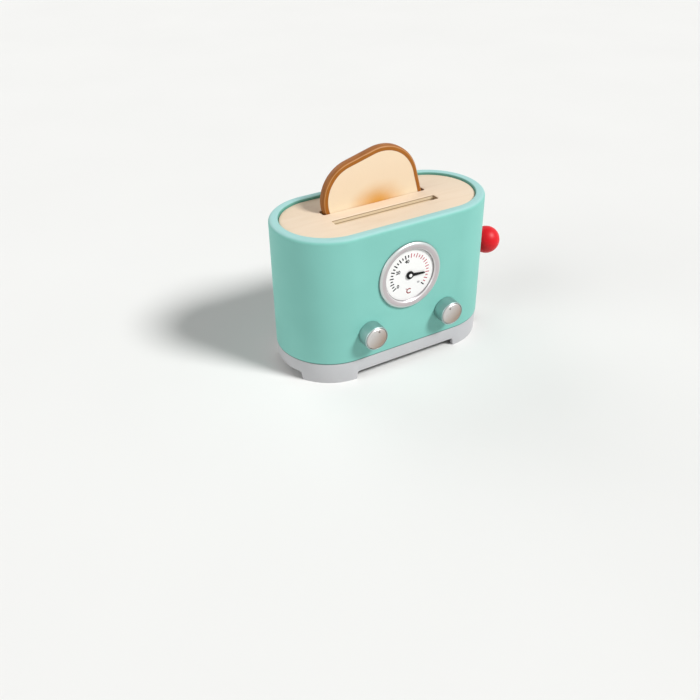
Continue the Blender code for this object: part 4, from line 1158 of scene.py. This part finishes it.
def markRim(piece, low, high):
    # How far in from a face's edge each point lies, for the painted crust: on the rounded
    # edge it is how far back from the face, below zero
    mesh = bmesh.new()
    mesh.from_mesh(piece.data)
    depths = [0.0] * len(mesh.verts)
    for faceY in (low, high):
        onFace = {vert for vert in mesh.verts if abs(vert.co.y - faceY) < tiny}
        rim = []
        for edge in mesh.edges:
            if set(edge.verts) <= onFace:
                flat = [face for face in edge.link_faces if set(face.verts) <= onFace]
                if len(flat) == 1:
                    rim.append((edge.verts[0].co, edge.verts[1].co))
        for vert in onFace:
            depths[vert.index] = min(awayFrom(vert.co, start, end) for start, end in rim)
    for vert in mesh.verts:
        if low + tiny < vert.co.y < high - tiny:
            depths[vert.index] = -min(vert.co.y - low, high - vert.co.y)
    mesh.free()
    layer = piece.data.attributes.new("rimDepth", "FLOAT", "POINT")
    layer.data.foreach_set("value", depths)


def awayFrom(place, start, end):
    # How far a point lies from the line between two others
    way = end - start
    share = max(0.0, min(1.0, (place - start).dot(way) / way.length_squared))
    return (place - start - way * share).length


# The carriage's two springs, made at their rest length; the real ones shorten as the lever goes
# down

springSizes = {"wire": 0.0004, "turns": 12, "wireSteps": 10, "turnSteps": 28}


def makeSprings():
    s = springSizes
    for name in ("left", "right"):
        node = "carriage_spring_" + name
        low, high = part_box(node)
        coil = (high.x - low.x) / 2 - s["wire"]
        climb = high.z - low.z - 2 * s["wire"]
        deselect()
        bpy.ops.mesh.primitive_circle_add(vertices=s["wireSteps"], radius=s["wire"],
                                          location=(coil, 0, 0), rotation=axisTurns["Y"])
        piece = settlePlace("carriageSpring_" + name)
        shape(piece, "SCREW", axis="Z", angle=math.tau, iterations=s["turns"],
              screw_offset=climb / s["turns"], steps=s["turnSteps"], render_steps=s["turnSteps"])
        edit(piece)
        bpy.ops.mesh.select_all(action="SELECT")
        bpy.ops.mesh.fill_holes(sides=s["wireSteps"])
        mergeAll()
        deselect()
        middle = (low + high) / 2 - bodyMiddle
        putAt(piece, (middle.x, middle.y, low.z + s["wire"]))
        finishPiece(piece, "spring", "housing", [node], degrees=50)
        keep = 1 - leverTravel / (high.z - low.z)
        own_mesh(piece)


# The magnet's winding and the timer's board, seen only with the shell off

windingSizes = {
    # the gap colour is painted shade in the grooves between the turns
    "gap": (120, 58, 28), "wire": (200, 116, 66), "turnsPerMetre": 3600.0,
    "wireSpan": (0.1, 0.7), "roughness": (0.42, 0.26), "relief": (0.00012, 1.0),
}


def makeWinding():
    s = windingSizes
    finish = Finish("copperWinding", s["wire"], Metallic=0.9)
    across = finish.axes()[0]
    turns = (across * s["turnsPerMetre"]).math("FRACT").math("PINGPONG", 0.5) * 2
    # painted shade between the turns
    colour = finish.mix(s["gap"], s["wire"], turns.step(*s["wireSpan"]))
    return finish.complete(s, colour, turns)


boardSizes = {
    "mask": (30, 88, 56), "track": (58, 128, 82), "trackShare": 0.7, "tracksPerMetre": 520.0,
    "trackLine": (0.5, 0.28), "wavers": (70.0, 1.0, 0.3), "jogs": 16, "jog": 0.0006,
    "roughness": (0.45, 0.33), "relief": (0.00004, 1.0),
}


def makeBoardGreen():
    s = boardSizes
    finish = Finish("boardGreen", s["mask"])
    away = finish.axes()[1]
    waver = finish.noise(*s["wavers"])
    rows = (away + (waver * s["jogs"]).math("ROUND") * s["jog"]) * s["tracksPerMetre"]
    tracks = rows.math("FRACT").bell(*s["trackLine"])
    colour = finish.mix(s["mask"], s["track"], tracks * s["trackShare"])
    return finish.complete(s, colour, tracks)


# Everything else keeps its CAD shape: its triangles are welded for smooth shading

slotFinishes = {"grey_plastic": "grey", "steel": "steel", "spring_steel": "spring",
                "copper_wire": "copper", "dark_plastic": "nylon", "board_green": "board",
                "milky_plastic": "milky"}


def dressNodes():
    slots = {row["node"]: row["material_slot"] for row in frame["record"]["subparts"]}
    dressed = 0
    for name, node in frame["nodes"].items():
        if node.hide_render:
            continue
        select(node)
        bpy.ops.mesh.customdata_custom_splitnormals_clear()
        bpy.ops.object.shade_smooth()
        weld = node.modifiers.new("weld", "WELD")
        weld.merge_threshold = mergeDistance
        split = node.modifiers.new("edges", "EDGE_SPLIT")
        split.split_angle = math.radians(smoothDegrees)
        node.data.materials.clear()
        node.data.materials.append(materials[slotFinishes[slots[name]]])
        dressed += 1
    deselect()
    print("CAD nodes dressed:", dressed)


# The floor

floorSizes = {"half": 3.0, "pale": (236, 236, 234), "shade": (232, 232, 230),
              "clouds": (5.0, 2.0), "roughness": (0.88, 0.98)}


def makeFloorPaper():
    s = floorSizes
    finish = Finish("floorPaper", s["pale"], Specular_IOR_Level=0.03)
    cloud = finish.noise(*s["clouds"])
    finish.set("Base Color", finish.mix(s["pale"], s["shade"], cloud))
    finish.vary("Roughness", s["roughness"], cloud)
    return finish.material


def makeFloor():
    deselect()
    bpy.ops.mesh.primitive_plane_add(size=2 * floorSizes["half"])
    floor = settlePlace("studioFloor")
    floor.data.materials.append(materials["floor"])


materials = {
    "teal": makeTealPaint(),
    "birch": makeBirch(),
    "grey": moulded("paleGreyPlastic", (192, 192, 194), (186, 186, 189), 0.5),
    # the knob bodies' silver is tinted teal, partly a painted reflection of the teal shell and
    # partly their own tint
    "silver": metal("silveredPlastic", (174, 191, 190), (164, 181, 180), 0.38, (0.3, 1, 0.3)),
    "bezel": makeBezelSilver(),
    "cap": makeCapSilver(),
    "white": moulded("dialWhite", (244, 244, 242), (239, 239, 238), 0.5, 0.00001),
    "black": moulded("printBlack", (16, 16, 18), (24, 24, 26), 0.6, 0.00001, shine=0.15),
    "red": moulded("printRed", (188, 58, 82), (178, 48, 74), 0.5, 0.00001),
    "darkRed": moulded("printDarkRed", (150, 40, 44), (138, 34, 40), 0.5, 0.00001),
    "faint": moulded("printFaint", (150, 148, 150), (140, 138, 141), 0.5, 0.00001),
    "lacquer": makeRedLacquer(),
    "toast": makeToastPaint(),
    "steel": metal("zincSteel", (192, 193, 192), (176, 178, 180), 0.28),
    "spring": metal("springWire", (150, 152, 156), (132, 134, 140), 0.3),
    "copper": makeWinding(),
    "nylon": moulded("blackNylon", (42, 43, 46), (34, 35, 38), 0.5, 0.00003, 900.0),
    "board": makeBoardGreen(),
    "milky": moulded("milkyNylon", (222, 214, 200), (214, 205, 190), 0.5, 0.00003, 1100.0),
    "floor": makeFloorPaper(),
}
print("finishes ready:", len(materials))

makeCamera()
makeLamps()
makeWorld()
makeFloor()
print("studio ready")
makeShell()
makeTop()
makeBase()
print("body ready")
makeBezel()
makeDial()
makeScale()
makeLabels()
makeHand()
makePin()
print("gauge ready")
makeKnobs()
makeLever()
makeToast()
makeSprings()
print("controls, toast and springs ready")
dressNodes()
